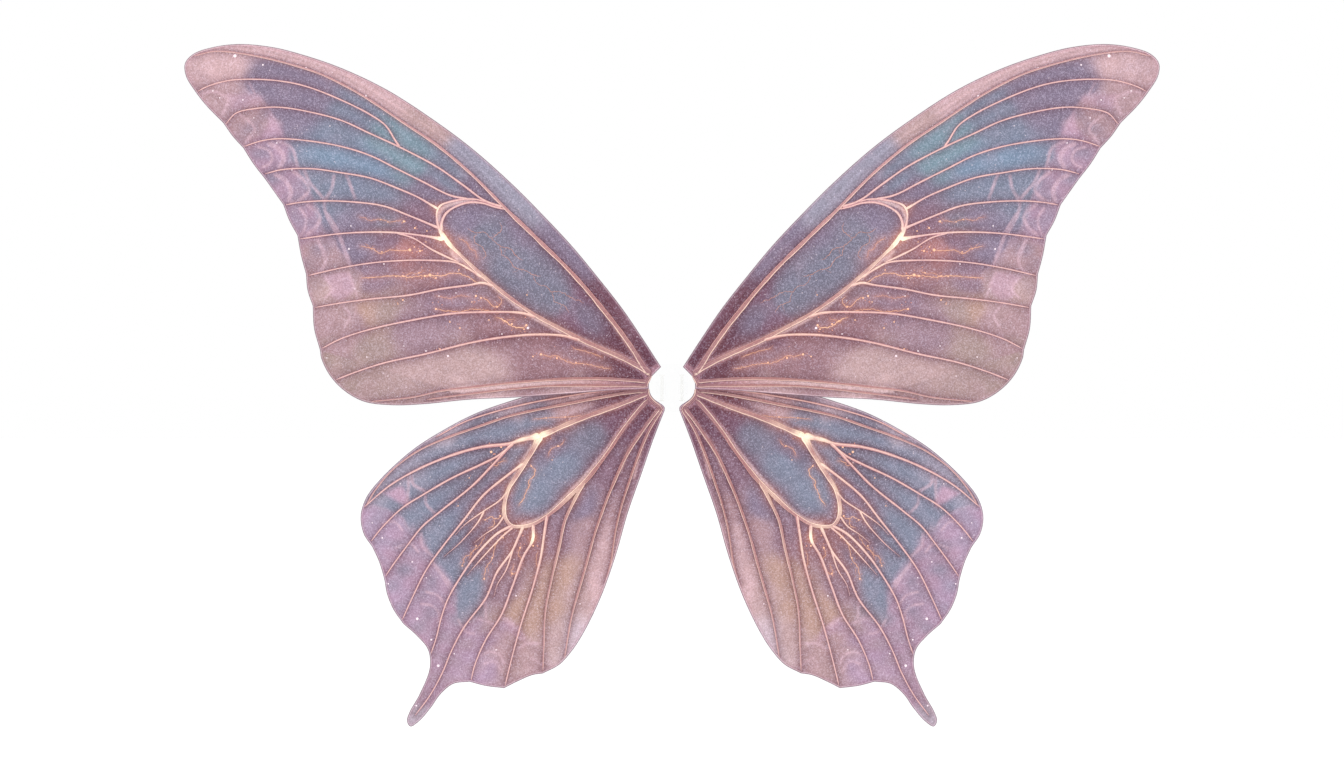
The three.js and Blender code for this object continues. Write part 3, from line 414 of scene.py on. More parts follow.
def smooth_line(route, step=2.0):
    """Points on a centripetal curve through the route, about step apart."""
    p = [np.array(q, float) for q in route]
    out = [p[0]]
    for i in range(len(p) - 1):
        p1, p2 = p[i], p[i + 1]
        p0 = p[i - 1] if i else 2 * p1 - p2
        p3 = p[i + 2] if i + 2 < len(p) else 2 * p2 - p1
        d0, d1, d2 = (max(np.linalg.norm(b - a) ** 0.5, 1e-4) for a, b in ((p0, p1), (p1, p2), (p2, p3)))
        t1 = ((p1 - p0) / d0 - (p2 - p0) / (d0 + d1) + (p2 - p1) / d1) * d1
        t2 = ((p2 - p1) / d1 - (p3 - p1) / (d1 + d2) + (p3 - p2) / d2) * d1
        n = max(2, math.ceil(np.linalg.norm(p2 - p1) / step))
        for t in np.arange(1, n + 1) / n:
            out.append(
                (2 * t**3 - 3 * t**2 + 1) * p1 + (t**3 - 2 * t**2 + t) * t1
                + (3 * t**2 - 2 * t**3) * p2 + (t**3 - t**2) * t2
            )
    return np.array(out)


def outline(runs):
    """The closed outline, anticlockwise, with evenly spaced points."""
    points = np.concatenate([smooth_line(r, FILM_STEP)[:-1] for r in runs])
    area = np.sum(points[:, 0] * np.roll(points[:, 1], -1) - np.roll(points[:, 0], -1) * points[:, 1])
    return points if area > 0 else points[::-1]


def normals_in(points):
    """Inward mitred normals of an anticlockwise outline."""
    def side(a, b):
        d = b - a
        d /= np.linalg.norm(d, axis=1)[:, None]
        return np.stack([-d[:, 1], d[:, 0]], 1)
    n1, n2 = side(np.roll(points, 1, 0), points), side(points, np.roll(points, -1, 0))
    return (n1 + n2) / np.maximum(1 + np.sum(n1 * n2, 1), 0.5)[:, None]


def distance(points, lines, closed=False):
    """Distance from each point to the nearest of the lines, less the line's half width there."""
    best = np.full(len(points), 1e9)
    for line, half in lines:
        a, b = (line, np.roll(line, -1, 0)) if closed else (line[:-1], line[1:])
        h = half if np.ndim(half) else np.full(len(line), float(half))
        d = b - a
        l2 = np.maximum(np.sum(d * d, 1), 1e-9)
        for s in range(0, len(points), 4000):
            q = points[s:s + 4000, None] - a[None]
            t = np.clip(np.sum(q * d, 2) / l2, 0, 1)
            away = np.linalg.norm(q - t[..., None] * d, axis=2) - h[: len(a)]
            best[s:s + 4000] = np.minimum(best[s:s + 4000], away.min(1))
    return best


def inside(points, polygon):
    """Whether each point is inside the closed polygon."""
    x, z = points[:, 0], points[:, 1]
    a, b = polygon, np.roll(polygon, -1, 0)
    hit = np.zeros(len(points), bool)
    for (x0, z0), (x1, z1) in zip(a, b):
        if z0 != z1:
            hit ^= ((z0 > z) != (z1 > z)) & (x < (x1 - x0) * (z - z0) / (z1 - z0) + x0)
    return hit


def linear(rgb):
    """An sRGB colour, 0 to 255, as linear light."""
    c = np.asarray(rgb, float) / 255
    return np.where(c <= 0.04045, c / 12.92, ((c + 0.055) / 1.055) ** 2.4)


def pooled(points, pools):
    """Each point's colour, linear, blended from the pools near it."""
    places = np.array([place for spots in pools.values() for place in spots], float)
    inks = linear([INKS[ink] for ink, spots in pools.items() for _ in spots])
    weight = (np.sum((points[:, None] - places[None]) ** 2, 2) + 60) ** -2.4
    return (weight / weight.sum(1)[:, None]) @ inks


def fade(x):
    """1 well below zero, 0 well above it, and smooth between."""
    return 1 / (1 + np.exp(np.clip(x, -60, 60)))


def from_line(points, line):
    """Distance from each point to an open line."""
    return distance(points, [(line, 0.0)])


def run_along(line):
    """How far along the line each of its points is."""
    return np.concatenate([[0], np.cumsum(np.linalg.norm(np.diff(line, axis=0), axis=1))])


def glow_at(points, glows):
    """How strongly each point glows."""
    g = np.zeros(len(points))
    for x, z, spread, strength in glows:
        g = np.maximum(g, strength * np.exp(-np.sum((points - (x, z)) ** 2, 1) / spread**2))
    return g


def ripple(points, scale, seed):
    """Smooth variation between -1 and 1, from a few sine waves."""
    rng = np.random.default_rng(seed)
    v = np.zeros(len(points))
    for _ in range(7):
        a, f, p = rng.uniform(0, 6.28), rng.uniform(0.6, 1.7) / scale, rng.uniform(0, 6.28)
        v += np.sin((points[:, 0] * math.cos(a) + points[:, 1] * math.sin(a)) * f * 6.28 + p)
    return v / 4


# ---- One wing panel as drawn, on the right side ----

ROOT_INK, PATCH_INK = linear((94, 50, 66)), linear((206, 164, 188))
WEB_INKS = [linear(ink) for ink in ((182, 136, 150), (208, 154, 158), (224, 190, 190))]
WEB_STAGES = ((26, 50), (50, 80))  # where the web's second and third inks begin, and how far they take
# Streaks beside the leading vein: how far off, width, strength
STREAKS = ((4, 0.9, 0.2), (7, 0.7, -0.16), (9.5, 0.8, 0.22), (13, 1.0, -0.14))
HIND_LIFT = 1.04  # how much lighter the hindwing's pools are


class Panel:
    """A panel's outline, veins and print. drawn holds what else is on it, from its veins to its stars."""

    def __init__(self, name, runs, margin, webs, marks, **drawn):
        vars(self).update(drawn)
        self.name = name
        self.margin = smooth_line(margin, 4)
        self.outline = outline(runs)
        self.film_line = self.outline + FILM_INSET * normals_in(self.outline)
        self.lines = {}
        for key, (w0, w1, route) in self.veins.items():
            line = smooth_line(route, 1.8)
            run = run_along(line)
            self.lines[key] = (line, (w0 + (w1 - w0) * run / run[-1]) * 0.4)
        self.webs = []
        for w0, w1, route in webs:
            line = smooth_line(route, 3)
            self.webs.append((line, np.linspace(w0, w1, len(line)) / 2))
        self.marks = [(smooth_line(route, 2), width / 2) for width, route in marks]

    def held(self, points):
        """Distance to the nearest vein and to the bound edge."""
        return distance(points, self.lines.values()), distance(points, [(self.film_line, 0.0)], closed=True)

    def billow(self, vein, edge):
        """How far the film bows out, given the distances to a vein and to the edge."""
        near = np.clip(np.minimum(vein, edge), 0, None)
        return BILLOW * (1 - np.exp(-(near / BILLOW_REACH) ** 2))

    def margin_share(self, points):
        """1 in the margin's print and 0 in the middle's, and the distance past the line between them."""
        if self.name == "forewing":
            corners = [(60, self.margin[-1][1] - 90), (-60, 60), (100, 420)]
        else:
            corners = [(-60, -300), (-60, 60), (330, 60)]
        away = from_line(points, self.margin)
        within = inside(points, np.concatenate([self.margin, corners]))
        signed = np.where(within, -away, away) + 2.2 * ripple(points, 17, 5)
        return fade(-signed / 1.6), signed

    def leading(self, points, colour):
        """The leading edge's own print, ahead of its main vein, with streaks along the vein."""
        lead = self.lines["subcosta"][0]
        ahead = inside(points, np.concatenate([lead, [(500, 345), (480, 430), (-40, 430), (-40, 30)]]))
        away = from_line(points, lead)
        band = fade(-np.where(ahead, away, -away) / 1.2)
        colour += (pooled(points, LEADING_POOLS) - colour) * band[:, None]
        streak = 0
        for off, wide, gain in STREAKS:
            for way in (1, -1):
                beside = lead + sideways(lead) * off * way
                streak = streak + np.exp(-(from_line(points, beside) / wide) ** 2) * gain
        colour *= (1 + streak * band * (0.7 + 0.5 * ripple(points, 40, 7)))[:, None]

    def paint(self, points, vein, edge):
        """The film's colours at each point: printed colour, painted shade beside the veins, painted glow,
        marks and rim.
        """
        share, signed = self.margin_share(points)
        from_middle = np.linalg.norm(points, axis=1)
        colour = pooled(points, self.pools)
        patch = np.clip(0.78 + 0.3 * ripple(points, 26, 11), 0.3, 1)
        colour += (pooled(points, self.margin_pools) - colour) * (patch * share)[:, None]
        if self.name == "forewing":
            self.leading(points, colour)
        else:
            colour *= HIND_LIFT
        root = np.exp(-(np.linalg.norm(points - ROOT, axis=1) / 52) ** 2)
        colour += (ROOT_INK - colour) * (0.6 * root)[:, None]
        off_web = distance(points, self.webs)
        near, far = (np.clip((from_middle - start) / over, 0, 1)[:, None] for start, over in WEB_STAGES)
        tone = WEB_INKS[0] * (1 - near) + WEB_INKS[1] * near * (1 - far) + WEB_INKS[2] * near * far
        colour += (tone - colour) * (0.9 * fade(off_web / 0.5))[:, None]
        colour *= (1 + 0.05 * ripple(points, 22, 8))[:, None]
        for strength, corners in self.patches:
            rim_line = smooth_line([*corners, corners[0]], 3)
            away = from_line(points, rim_line)
            soft = fade(np.where(inside(points, rim_line), -away, away))
            pink = PATCH_INK * (0.98 + 0.06 * ripple(points, 9, 2))[:, None]
            colour += (pink - colour) * (strength * soft)[:, None]
        mark = np.exp(-(np.clip(distance(points, self.marks), 0, None) / 0.8) ** 2)
        mark *= 0.85 + 0.3 * ripple(points, 14, 6)
        mark = np.maximum(mark, np.exp(-(signed / 1.6) ** 2) * (0.28 + 0.3 * ripple(points, 30, 3)))
        reach = np.clip(from_middle / 330, 0.15, 1)
        glow = glow_at(points, self.glows)
        # Painted shade: the film darkens beside and beneath the veins, widest near the root and round the
        # glowing spots, with a dark line at each vein's foot.
        clear = np.clip(np.minimum(vein, off_web), 0, None)
        painted_vein_shade = np.exp(-clear / (3.6 + 3.0 * (1 - reach) + 5 * glow)) * (0.9 - 0.36 * reach)
        painted_vein_shade *= 1 - 0.8 * fade(off_web / 0.4)
        painted_vein_shade = np.maximum(painted_vein_shade, (0.72 - 0.56 * reach) * np.exp(-np.abs(vein - 0.3) / 0.8))
        # Painted glow: warm light round the broader threads and round the glowing spots near the veins.
        broad = [(smooth_line(route, 3), width * 0.5) for width, route in self.threads if width > 0.65]
        painted_glow = np.exp(-np.clip(distance(points, broad), 0, None) / 2.2) * 0.2
        painted_glow = np.maximum(painted_glow, glow * np.exp(-np.clip(vein, 0, None) / 6) * 0.7)
        rim = np.exp(-np.clip(edge, 0, None) / 1.2) * 0.5
        return colour, painted_vein_shade, painted_glow, np.clip(mark, 0, 1), rim


# ---- Meshes ----


def make(name, verts, faces, attributes=None):
    """A mesh object with smooth faces. An attribute is one value or one colour a point."""
    mesh = bpy.data.meshes.new(name)
    mesh.from_pydata(np.asarray(verts).tolist(), [], [list(f) for f in faces])
    for key, values in (attributes or {}).items():
        values = np.asarray(values, np.float32)
        if values.ndim == 2:
            layer = mesh.attributes.new(key, "FLOAT_COLOR", "POINT")
            opaque = np.ones((len(values), 1), np.float32)
            layer.data.foreach_set("color", np.concatenate([values, opaque], 1).ravel())
        else:
            mesh.attributes.new(key, "FLOAT", "POINT").data.foreach_set("value", values)
    mesh.polygons.foreach_set("use_smooth", [True] * len(mesh.polygons))
    mesh.update()
    obj = bpy.data.objects.new(name, mesh)
    bpy.context.scene.collection.objects.link(obj)
    return obj


def face_out(obj):
    """Turns the mesh's faces outwards."""
    bm = bmesh.new()
    bm.from_mesh(obj.data)
    bmesh.ops.recalc_face_normals(bm, faces=bm.faces)
    bm.to_mesh(obj.data)
    bm.free()
    return obj


def fill(panel, step):
    """Points and triangles that fill the film's outline, with inner points on a triangular grid."""
    rim = panel.film_line
    lo, hi = rim.min(0), rim.max(0)
    rows = []
    for i, z in enumerate(np.arange(lo[1], hi[1], step * 0.866)):
        x = np.arange(lo[0] + (i % 2) * step / 2, hi[0], step)
        rows.append(np.stack([x, np.full(len(x), z)], 1))
    grid = np.concatenate(rows)
    grid = grid[inside(grid, rim)]
    grid = grid[distance(grid, [(rim, 0.0)], closed=True) > 0.55 * min(step, 3.0)]
    points = [Vector(p) for p in rim] + [Vector(p) for p in grid]
    edges = [(i, (i + 1) % len(rim)) for i in range(len(rim))]
    verts, _, faces, *_ = delaunay_2d_cdt(points, edges, [], 1, 1e-5)
    return np.array([tuple(v) for v in verts]), [tuple(f) for f in faces], len(rim)


def printed_face(panel, step, see_veins=False):
    """One side of the film: its points, faces, count of points round the rim, print and bow."""
    points, faces, around = fill(panel, step)
    vein, edge = panel.held(points)
    pool, painted_vein_shade, painted_glow, mark, rim = panel.paint(points, vein, edge)
    if see_veins:  # the veins show through the back as pale lines
        through = fade(vein / 0.5)
        painted_vein_shade, mark = painted_vein_shade * (1 - 0.85 * through), np.maximum(mark, through)
    paint = {"pool": pool, "painted_vein_shade": painted_vein_shade, "painted_glow": painted_glow, "mark": mark, "rim": rim}
    return points, faces, around, paint, panel.billow(vein, edge)


def film_mesh(name, sign, y_mid, front_face, back_face):
    """A closed laminated sheet: a finely divided printed side, a plainer back, and its cut edge."""
    front, front_faces, around, front_paint, front_bow = front_face
    back, back_faces, _, back_paint, back_bow = back_face
    y = y_mid - FILM_THICKNESS / 2 - front_bow
    yb = y_mid + FILM_THICKNESS / 2 - back_bow
    verts = np.concatenate([np.stack([front[:, 0] * sign, y, front[:, 1]], 1),
                            np.stack([back[:, 0] * sign, yb, back[:, 1]], 1)]) * MM
    k = len(front)
    faces = [f if sign > 0 else f[::-1] for f in front_faces]
    faces += [tuple(i + k for i in (f[::-1] if sign > 0 else f)) for f in back_faces]
    for i in range(around):
        j = (i + 1) % around
        quad = (i, k + i, k + j, j)
        faces.append(quad if sign > 0 else quad[::-1])
    attributes = {key: np.concatenate([front_paint[key], back_paint[key]]) for key in front_paint}
    return make(name, verts, faces, attributes)


class Sweeps:
    """Closed ridges gathered into one mesh."""

    def __init__(self):
        self.verts, self.faces, self.tint, self.glow = [], [], [], []

    def add(self, line, width, relief, y, tints, glow, across=7, sink=0.25):
        """A ridge with a rounded top, a flat base and round ends. y is the film's face along the line."""
        n = len(line)
        ahead, behind = np.roll(line, -1, 0), np.roll(line, 1, 0)
        ahead[-1], behind[0] = line[-1], line[0]
        along = ahead - behind
        along /= np.maximum(np.linalg.norm(along, axis=1), 1e-6)[:, None]
        normal = np.stack([-along[:, 1], along[:, 0]], 1)
        start = len(self.verts)
        for i in range(n):
            for k in range(across):
                a = math.pi * k / (across - 1)
                off = normal[i] * (width[i] / 2 * math.cos(a))
                up = relief[i] * math.sin(a) ** 0.8 if 0 < k < across - 1 else -sink
                self.verts.append((line[i, 0] + off[0], y[i] - up, line[i, 1] + off[1]))
                # The colour runs from the first tint at the foot to the second on top; veins and threads use
                # this for painted shade on their flanks.
                ridge = math.sin(a) ** 1.5 if 0 < k < across - 1 else 0.0
                self.tint.append(tints[0][i] + (tints[1][i] - tints[0][i]) * ridge)
                self.glow.append(glow[i] * ridge)
        for i in range(n - 1):
            for k in range(across):
                m = (k + 1) % across
                a, b = start + i * across, start + (i + 1) * across
                self.faces.append((a + k, b + k, b + m, a + m))
        self.faces.append(tuple(start + k for k in range(across)))
        self.faces.append(tuple(start + (n - 1) * across + k for k in reversed(range(across))))

    def bead(self, x, z, y, radius, colour, glow, height=0.6):
        """A low dome on the film, sunk a little at its rim."""
        rings, around = 3, 8
        start = len(self.verts)
        for r in range(rings):
            a = math.pi / 2 * r / rings
            wide = radius * math.cos(a)
            up = y - radius * height * math.sin(a) + (0.2 if r == 0 else 0)
            for k in range(around):
                t = 2 * math.pi * k / around
                self.verts.append((x + wide * math.cos(t), up, z + wide * math.sin(t)))
        self.verts.append((x, y - radius * height, z))
        self.tint += [colour] * (rings * around + 1)
        self.glow += [glow] * (rings * around + 1)
        for r in range(rings - 1):
            for k in range(around):
                m = (k + 1) % around
                a, b = start + r * around, start + (r + 1) * around
                self.faces.append((a + k, a + m, b + m, b + k))
        top = start + rings * around
        last = top - around
        for k in range(around):
            self.faces.append((last + k, last + (k + 1) % around, top))
        self.faces.append(tuple(start + k for k in reversed(range(around))))

    def build(self, name, sign):
        v = np.array(self.verts) * MM
        v[:, 0] *= sign
        paint = {"tint": np.array(self.tint), "glow": np.array(self.glow)}
        return face_out(make(name, v, self.faces, paint))


VEIN_ROOT, VEIN_MID, VEIN_TIP = linear((188, 136, 146)), linear((222, 160, 156)), linear((220, 168, 172))
VEIN_GLOW, VEIN_SHADED_SIDE = linear((255, 236, 206)), linear((132, 74, 88))
VEIN_HIGHLIGHT = linear((255, 226, 206))
THREAD, THREAD_GLOW = linear((212, 142, 122)), linear((250, 206, 164))
BEAD, STAR = linear((246, 190, 154)), linear((244, 228, 236))


def vein_colours(panel, line):
    """Along a vein: the colours of its sides, which are painted shade, and of its lighter ridge, and how
    strongly it glows.
    """
    reach = np.linalg.norm(line, axis=1)
    first = np.clip((reach - 22) / 60, 0, 1)[:, None]
    last = np.clip((reach - 120) / 160, 0, 1)[:, None]
    ridge = VEIN_ROOT + (VEIN_MID - VEIN_ROOT) * first
    ridge = ridge + (VEIN_TIP - ridge) * last
    glow = glow_at(line, panel.glows)
    # Painted glow: the ridge pales to cream round the glowing spots.
    ridge = ridge + (VEIN_GLOW - ridge) * np.clip(glow * 1.1, 0, 1)[:, None]
    # Painted shade: the vein's flanks run dark towards the foot, less so outwards and where the vein glows.
    side = VEIN_SHADED_SIDE + (ridge - VEIN_SHADED_SIDE) * (0.28 + 0.62 * last + 0.5 * glow[:, None])
    return (np.clip(side, 0, 1), ridge), glow


def sideways(line):
    """The unit normal along a line."""
    along = np.gradient(line, axis=0)
    return np.stack([-along[:, 1], along[:, 0]], 1) / np.linalg.norm(along, axis=1)[:, None]


def lit(tint):
    """A tint's bright line, a painted highlight."""
    return tint + (VEIN_HIGHLIGHT - tint) * 0.68


def vein_sweeps(panel, face):
    """The panel's raised veins. Veins that read as bundles get fine strands."""
    made = Sweeps()
    for key, (w0, w1, route) in panel.veins.items():
        line = smooth_line(route, 2.2)
        keep = inside(line, panel.outline) & (distance(line, [(panel.outline, 0.0)], closed=True) > 1.2)
        line = line[keep]
        run = run_along(line)
        width = w0 + (w1 - w0) * run / run[-1]
        flare = 1 + 0.5 * np.exp(-run / 5)
        free = key.startswith("twig")
        taper = np.clip((run[-1] - run) / (22 if free else 5), 0.25 if free else 0.45, 1) ** 0.7
        start = np.clip((run + 1.2) / 4, 0.3, 1)
        swell = 1 + 0.55 * glow_at(line, panel.glows[:1])
        uneven = 1 + 0.06 * np.sin(run / 6.1) + 0.05 * np.sin(run / 2.7 + 1)
        width = width * flare * taper * start * swell * uneven
        width *= 1 - 0.22 * np.clip((np.linalg.norm(line, axis=1) - 170) / 150, 0, 1)
        relief = np.minimum(width * 0.42, 1.5)
        tints, glow = vein_colours(panel, line)
        y = np.full(len(line), face)
        strands = STRANDS.get(key, 1)
        if strands == 1:
            # A single vein: a dusky body under a thin crest that carries a painted highlight.
            dusky = tints[0] * 0.3 + tints[1] * 0.74
            top = dusky + (tints[1] - dusky) * glow[:, None]
            made.add(line, width, relief * 0.85, y, (tints[0], top), glow)
            crest = line + sideways(line) * (0.12 * width * np.sin(run / 37 + 1))[:, None]
            crest_highlight_tints = (tints[1] * 0.92, lit(tints[1]))
            made.add(crest, width * 0.36, relief * 0.45, y - relief * 0.52, crest_highlight_tints, glow, across=5)
            continue
        # A bundle: a low dusky band with painted shade on its flanks, under fine strands.
        dusky = tints[0] * 0.55 + tints[1] * 0.25
        top = dusky + (tints[1] - dusky) * glow[:, None]
        made.add(line, width, relief * 0.5, y, (tints[0] * 0.8, top), glow * 0.5)
        normal = sideways(line)
        for k in range(strands):
            place = (k / (strands - 1) - 0.5) * 0.72
            wander = place * (1 + 0.1 * np.sin(run / 23))
            wander = wander + 0.04 * np.sin(run / 17 + 2 * k) + 0.03 * np.sin(run / 7 + 5 * k)
            strand = line + normal * (wander * width)[:, None]
            size = width * (0.2 if k else 0.28)
            # Painted highlight on the first strand; the other strands are darker shaded copies.
            bright = lit(tints[1]) if k == 0 else tints[1] * 0.82
            seat = y - relief * 0.42 * (1 - (2 * abs(place)) ** 2 * 0.5)
            made.add(strand, size, relief * 0.5, seat, (tints[0], bright), glow, across=6)
    return made


def thread_sweeps(panel, face):
    """The print's fine glowing threads, with their side twigs, beads and stars."""
    made = Sweeps()
    rng = np.random.default_rng(4)

    def surface(points):
        return face - panel.billow(*panel.held(points))

    def thread(width, line):
        run = run_along(line)
        w = width * np.clip(np.minimum(run + 1, run[-1] - run + 0.8) / 5, 0.3, 1)
        w = w * (0.5 + 0.5 * rng.random(len(w)))
        glow = 0.5 * (width - 0.5) + 0.5 * glow_at(line, panel.glows)
        tint = THREAD + (THREAD_GLOW - THREAD) * np.clip(glow, 0, 1)[:, None]
        # Painted shade on each thread's flanks under a lighter top, and painted glow along it, which the
        # thread finish emits.
        made.add(line, w, w * 0.35, surface(line), (tint * 0.75, tint), glow, across=5)

    for width, route in panel.threads:
        line = smooth_line(route, 1.6)
        line[1:-1] += rng.normal(0, 0.42, (len(line) - 2, 2))
        thread(width, line)
        for _ in range(max(1, len(route) // 3)):
            at = line[rng.integers(2, max(3, len(line) - 2))]
            heading = rng.uniform(0, 6.28)
            onward = 1.1 * np.array([math.cos(heading), math.sin(heading)])
            steps = np.cumsum(rng.normal(0, 0.5, (6, 2)) + onward, 0)
            twig = np.concatenate([[at], at + steps])
            if (distance(twig, panel.lines.values()) > 1).all():
                thread(width * 0.6, twig)
    # Beads and stars carry painted glow too, which the thread finish emits.
    for x, z, radius in panel.beads:
        spot = np.array([[x, z]], float)
        made.bead(x, z, surface(spot)[0], radius * 0.8, BEAD, 0.45)
        for _ in range(3):
            dx, dz = rng.normal(0, 2.6, 2) * radius
            spot = np.array([[x + dx, z + dz]])
            made.bead(x + dx, z + dz, surface(spot)[0], radius * rng.uniform(0.25, 0.45), THREAD, 0.4)
    for x, z, radius in panel.stars:
        spot = np.array([[x, z]], float)
        made.bead(x, z, surface(spot)[0], radius * 0.85, STAR, 0.25, height=0.3)
    return made


def edge_mesh(panel, name, sign, y_mid):
    """The bound edge: a soft rounded lip all round the film, printed like it and dark outside."""
    normal = normals_in(panel.outline)
    centre = panel.outline + normal * (EDGE_WIDTH / 2)
    colour = panel.paint(centre, np.full(len(centre), 20.0), np.full(len(centre), 3.0))[0]
    verts, faces, pool, dark = [], [], [], []
    around = 10
    for i, (c, n) in enumerate(zip(centre, normal)):
        for k in range(around):
            a = 2 * math.pi * k / around
            out = math.copysign(abs(math.cos(a)) ** 0.7, math.cos(a)) * EDGE_WIDTH / 2
            up = math.copysign(abs(math.sin(a)) ** 0.7, math.sin(a)) * EDGE_THICKNESS / 2
            verts.append(((c[0] - n[0] * out) * sign, y_mid + up, c[1] - n[1] * out))
            pool.append(colour[i])
            dark.append(min(0.85, max(0.0, (math.cos(a) + 0.05) / 0.5)))
    total = len(centre)
    for i in range(total):
        for k in range(around):
            j, m = (i + 1) % total, (k + 1) % around
            quad = (i * around + k, i * around + m, j * around + m, j * around + k)
            faces.append(quad if sign < 0 else quad[::-1])
    return face_out(make(name, np.array(verts) * MM, faces, {"pool": np.array(pool), "dark": np.array(dark)}))


# ---- Materials ----


class Nodes:
    """A short way to write a material's node tree."""

    def __init__(self, name):
        self.material = bpy.data.materials.new(name)
        self.material.use_nodes = True
        self.tree = self.material.node_tree
        self.shader = self.tree.nodes["Principled BSDF"]
        self.coords = self.tree.nodes.new("ShaderNodeTexCoord").outputs["Object"]

    def link(self, value, socket):
        if isinstance(value, bpy.types.NodeSocket):
            self.tree.links.new(value, socket)
        else:
            socket.default_value = value

    def fill_in(self, node, values):
        for key, value in values.items():
            self.link(value, node.inputs[key.replace("_", " ")])
        return node

    def set(self, **values):
        """Sets or links the shader's inputs. An underscore stands for a space."""
        self.fill_in(self.shader, values)
        return self

    def new(self, kind, **values):
        return self.fill_in(self.tree.nodes.new("ShaderNode" + kind), values)

    def attribute(self, name, output="Fac"):
        node = self.new("Attribute")
        node.attribute_name = name
        return node.outputs[output]

    def noise(self, scale, detail=2.0, rough=0.5, distortion=0.0):
        node = self.new("TexNoise", Vector=self.coords, Scale=scale, Detail=detail, Roughness=rough,
                        Distortion=distortion)
        return node.outputs["Fac"]

    def cells(self, scale, channel):
        """Each cell's distance to its point, and one channel of its random colour."""
        node = self.new("TexVoronoi", Vector=self.coords, Scale=scale)
        split = self.new("SeparateColor", Color=node.outputs["Color"])
        return node.outputs["Distance"], split.outputs[channel]

    def math(self, op, a, b=0.0):
        node = self.new("Math")
        node.operation = op
        self.link(a, node.inputs[0])
        self.link(b, node.inputs[1])
        return node.outputs[0]

    def span(self, value, low, high, to_low=0.0, to_high=1.0):
        """The value's range from low to high, moved to another range."""
        node = self.new("MapRange", Value=value, From_Min=low, From_Max=high, To_Min=to_low, To_Max=to_high)
        return node.outputs["Result"]

    def mix(self, fac, a, b, blend="MIX"):
        """Two colours mixed. A plain colour is sRGB, 0 to 255."""
        node = self.new("Mix")
        node.data_type, node.blend_type = "RGBA", blend
        self.link(fac, node.inputs["Factor"])
        for value, socket in ((a, node.inputs[6]), (b, node.inputs[7])):
            plain = not isinstance(value, bpy.types.NodeSocket)
            self.link((*linear(value).tolist(), 1) if plain else value, socket)
        return node.outputs[2]

    def bump(self, height, strength, distance):
        node = self.new("Bump", Strength=strength, Distance=distance, Height=height)
        return self.set(Normal=node.outputs["Normal"])


def grain(m, colour, amount):
    """Fine glitter: lighter and darker grains about a millimetre across, and a few bright ones painted as
    glints.
    """
    shares = ((900, 0.6), (1600, 0.4))
    tones = [m.math("MULTIPLY", m.cells(scale, "Green")[1], share) for scale, share in shares]
    fine = m.math("ADD", *tones)
    colour = m.mix(1.0, colour, m.span(fine, 0.0, 1.0, 1 - 0.5 * amount, 1 + 0.4 * amount), "MULTIPLY")
    colour = m.mix(m.span(fine, 0.56, 0.92, 0, 0.48 * amount), colour, (206, 200, 222))
    # Painted glints: a few grains lightened almost to white.
    near, random = m.cells(430, "Red")
    painted_glints = m.math("MULTIPLY", m.math("LESS_THAN", near, 0.25), m.math("GREATER_THAN", random, 0.972))
    colour = m.mix(m.math("MULTIPLY", painted_glints, 0.5), colour, (240, 222, 232))
    return colour, m.noise(900, 1.0)


def film_material():
    m = Nodes("printed_film")
    colour = m.attribute("pool", "Color")
    mottle = m.noise(42, 4.0, 0.6, 0.4)
    colour = m.mix(m.span(mottle, 0.52, 0.78, 0, 0.14), colour, (206, 176, 196))
    colour = m.mix(m.span(mottle, 0.48, 0.22, 0, 0.16), colour, (92, 88, 124))
    colour = m.mix(m.math("MULTIPLY", m.attribute("mark"), 0.5), colour, (226, 188, 202))
    # Painted shade beside and beneath the veins, in dark maroon.
    colour = m.mix(m.attribute("painted_vein_shade"), colour, (92, 40, 56))
    # Painted glow in warm peach; the same attribute makes the film emit a little light below.
    colour = m.mix(m.attribute("painted_glow"), colour, (214, 140, 116))
    colour, fine = grain(m, colour, 0.6)
    # Painted glow: bright peach specks scattered where the film glows.
    specks = m.math("GREATER_THAN", m.noise(760, 2.0, 0.7), 0.66)
    painted_glow_specks = m.math("MULTIPLY", m.span(m.attribute("painted_glow"), 0.08, 0.5), specks)
    colour = m.mix(m.math("MULTIPLY", painted_glow_specks, 0.5), colour, (250, 190, 150))
    colour = m.mix(m.attribute("rim"), colour, (160, 112, 132))
    m.set(Base_Color=colour, Roughness=m.span(fine, 0.3, 0.7, 0.42, 0.6), Specular_IOR_Level=0.2)
    m.set(Coat_Weight=0.03, Coat_Roughness=0.3, Emission_Color=(*linear((255, 190, 150)).tolist(), 1))
    # The film emits some of its painted glow, though it is no lamp.
    m.set(Emission_Strength=m.math("MULTIPLY", m.attribute("painted_glow"), 0.1))
    return m.bump(fine, 0.1, 0.0001).material


def vein_material(name, emission):
    m = Nodes(name)
    colour = m.attribute("tint", "Color")
    fibre = m.noise(520, 3.0, 0.6, 0.3)
    colour = m.mix(m.span(fibre, 0.5, 0.8, 0, 0.3), colour, (250, 222, 210))
    colour = m.mix(m.span(fibre, 0.5, 0.22, 0, 0.35), colour, (150, 88, 96))
    m.set(Base_Color=colour, Roughness=m.span(fibre, 0.3, 0.7, 0.3, 0.5), Coat_Weight=0.2, Coat_Roughness=0.2)
    # Painted glow: the piece emits its own colour where its glow attribute is high, though it is no lamp.
    m.set(Emission_Color=colour, Emission_Strength=m.math("MULTIPLY", m.attribute("glow"), emission))
    return m.bump(fibre, 0.3, 0.0002).material


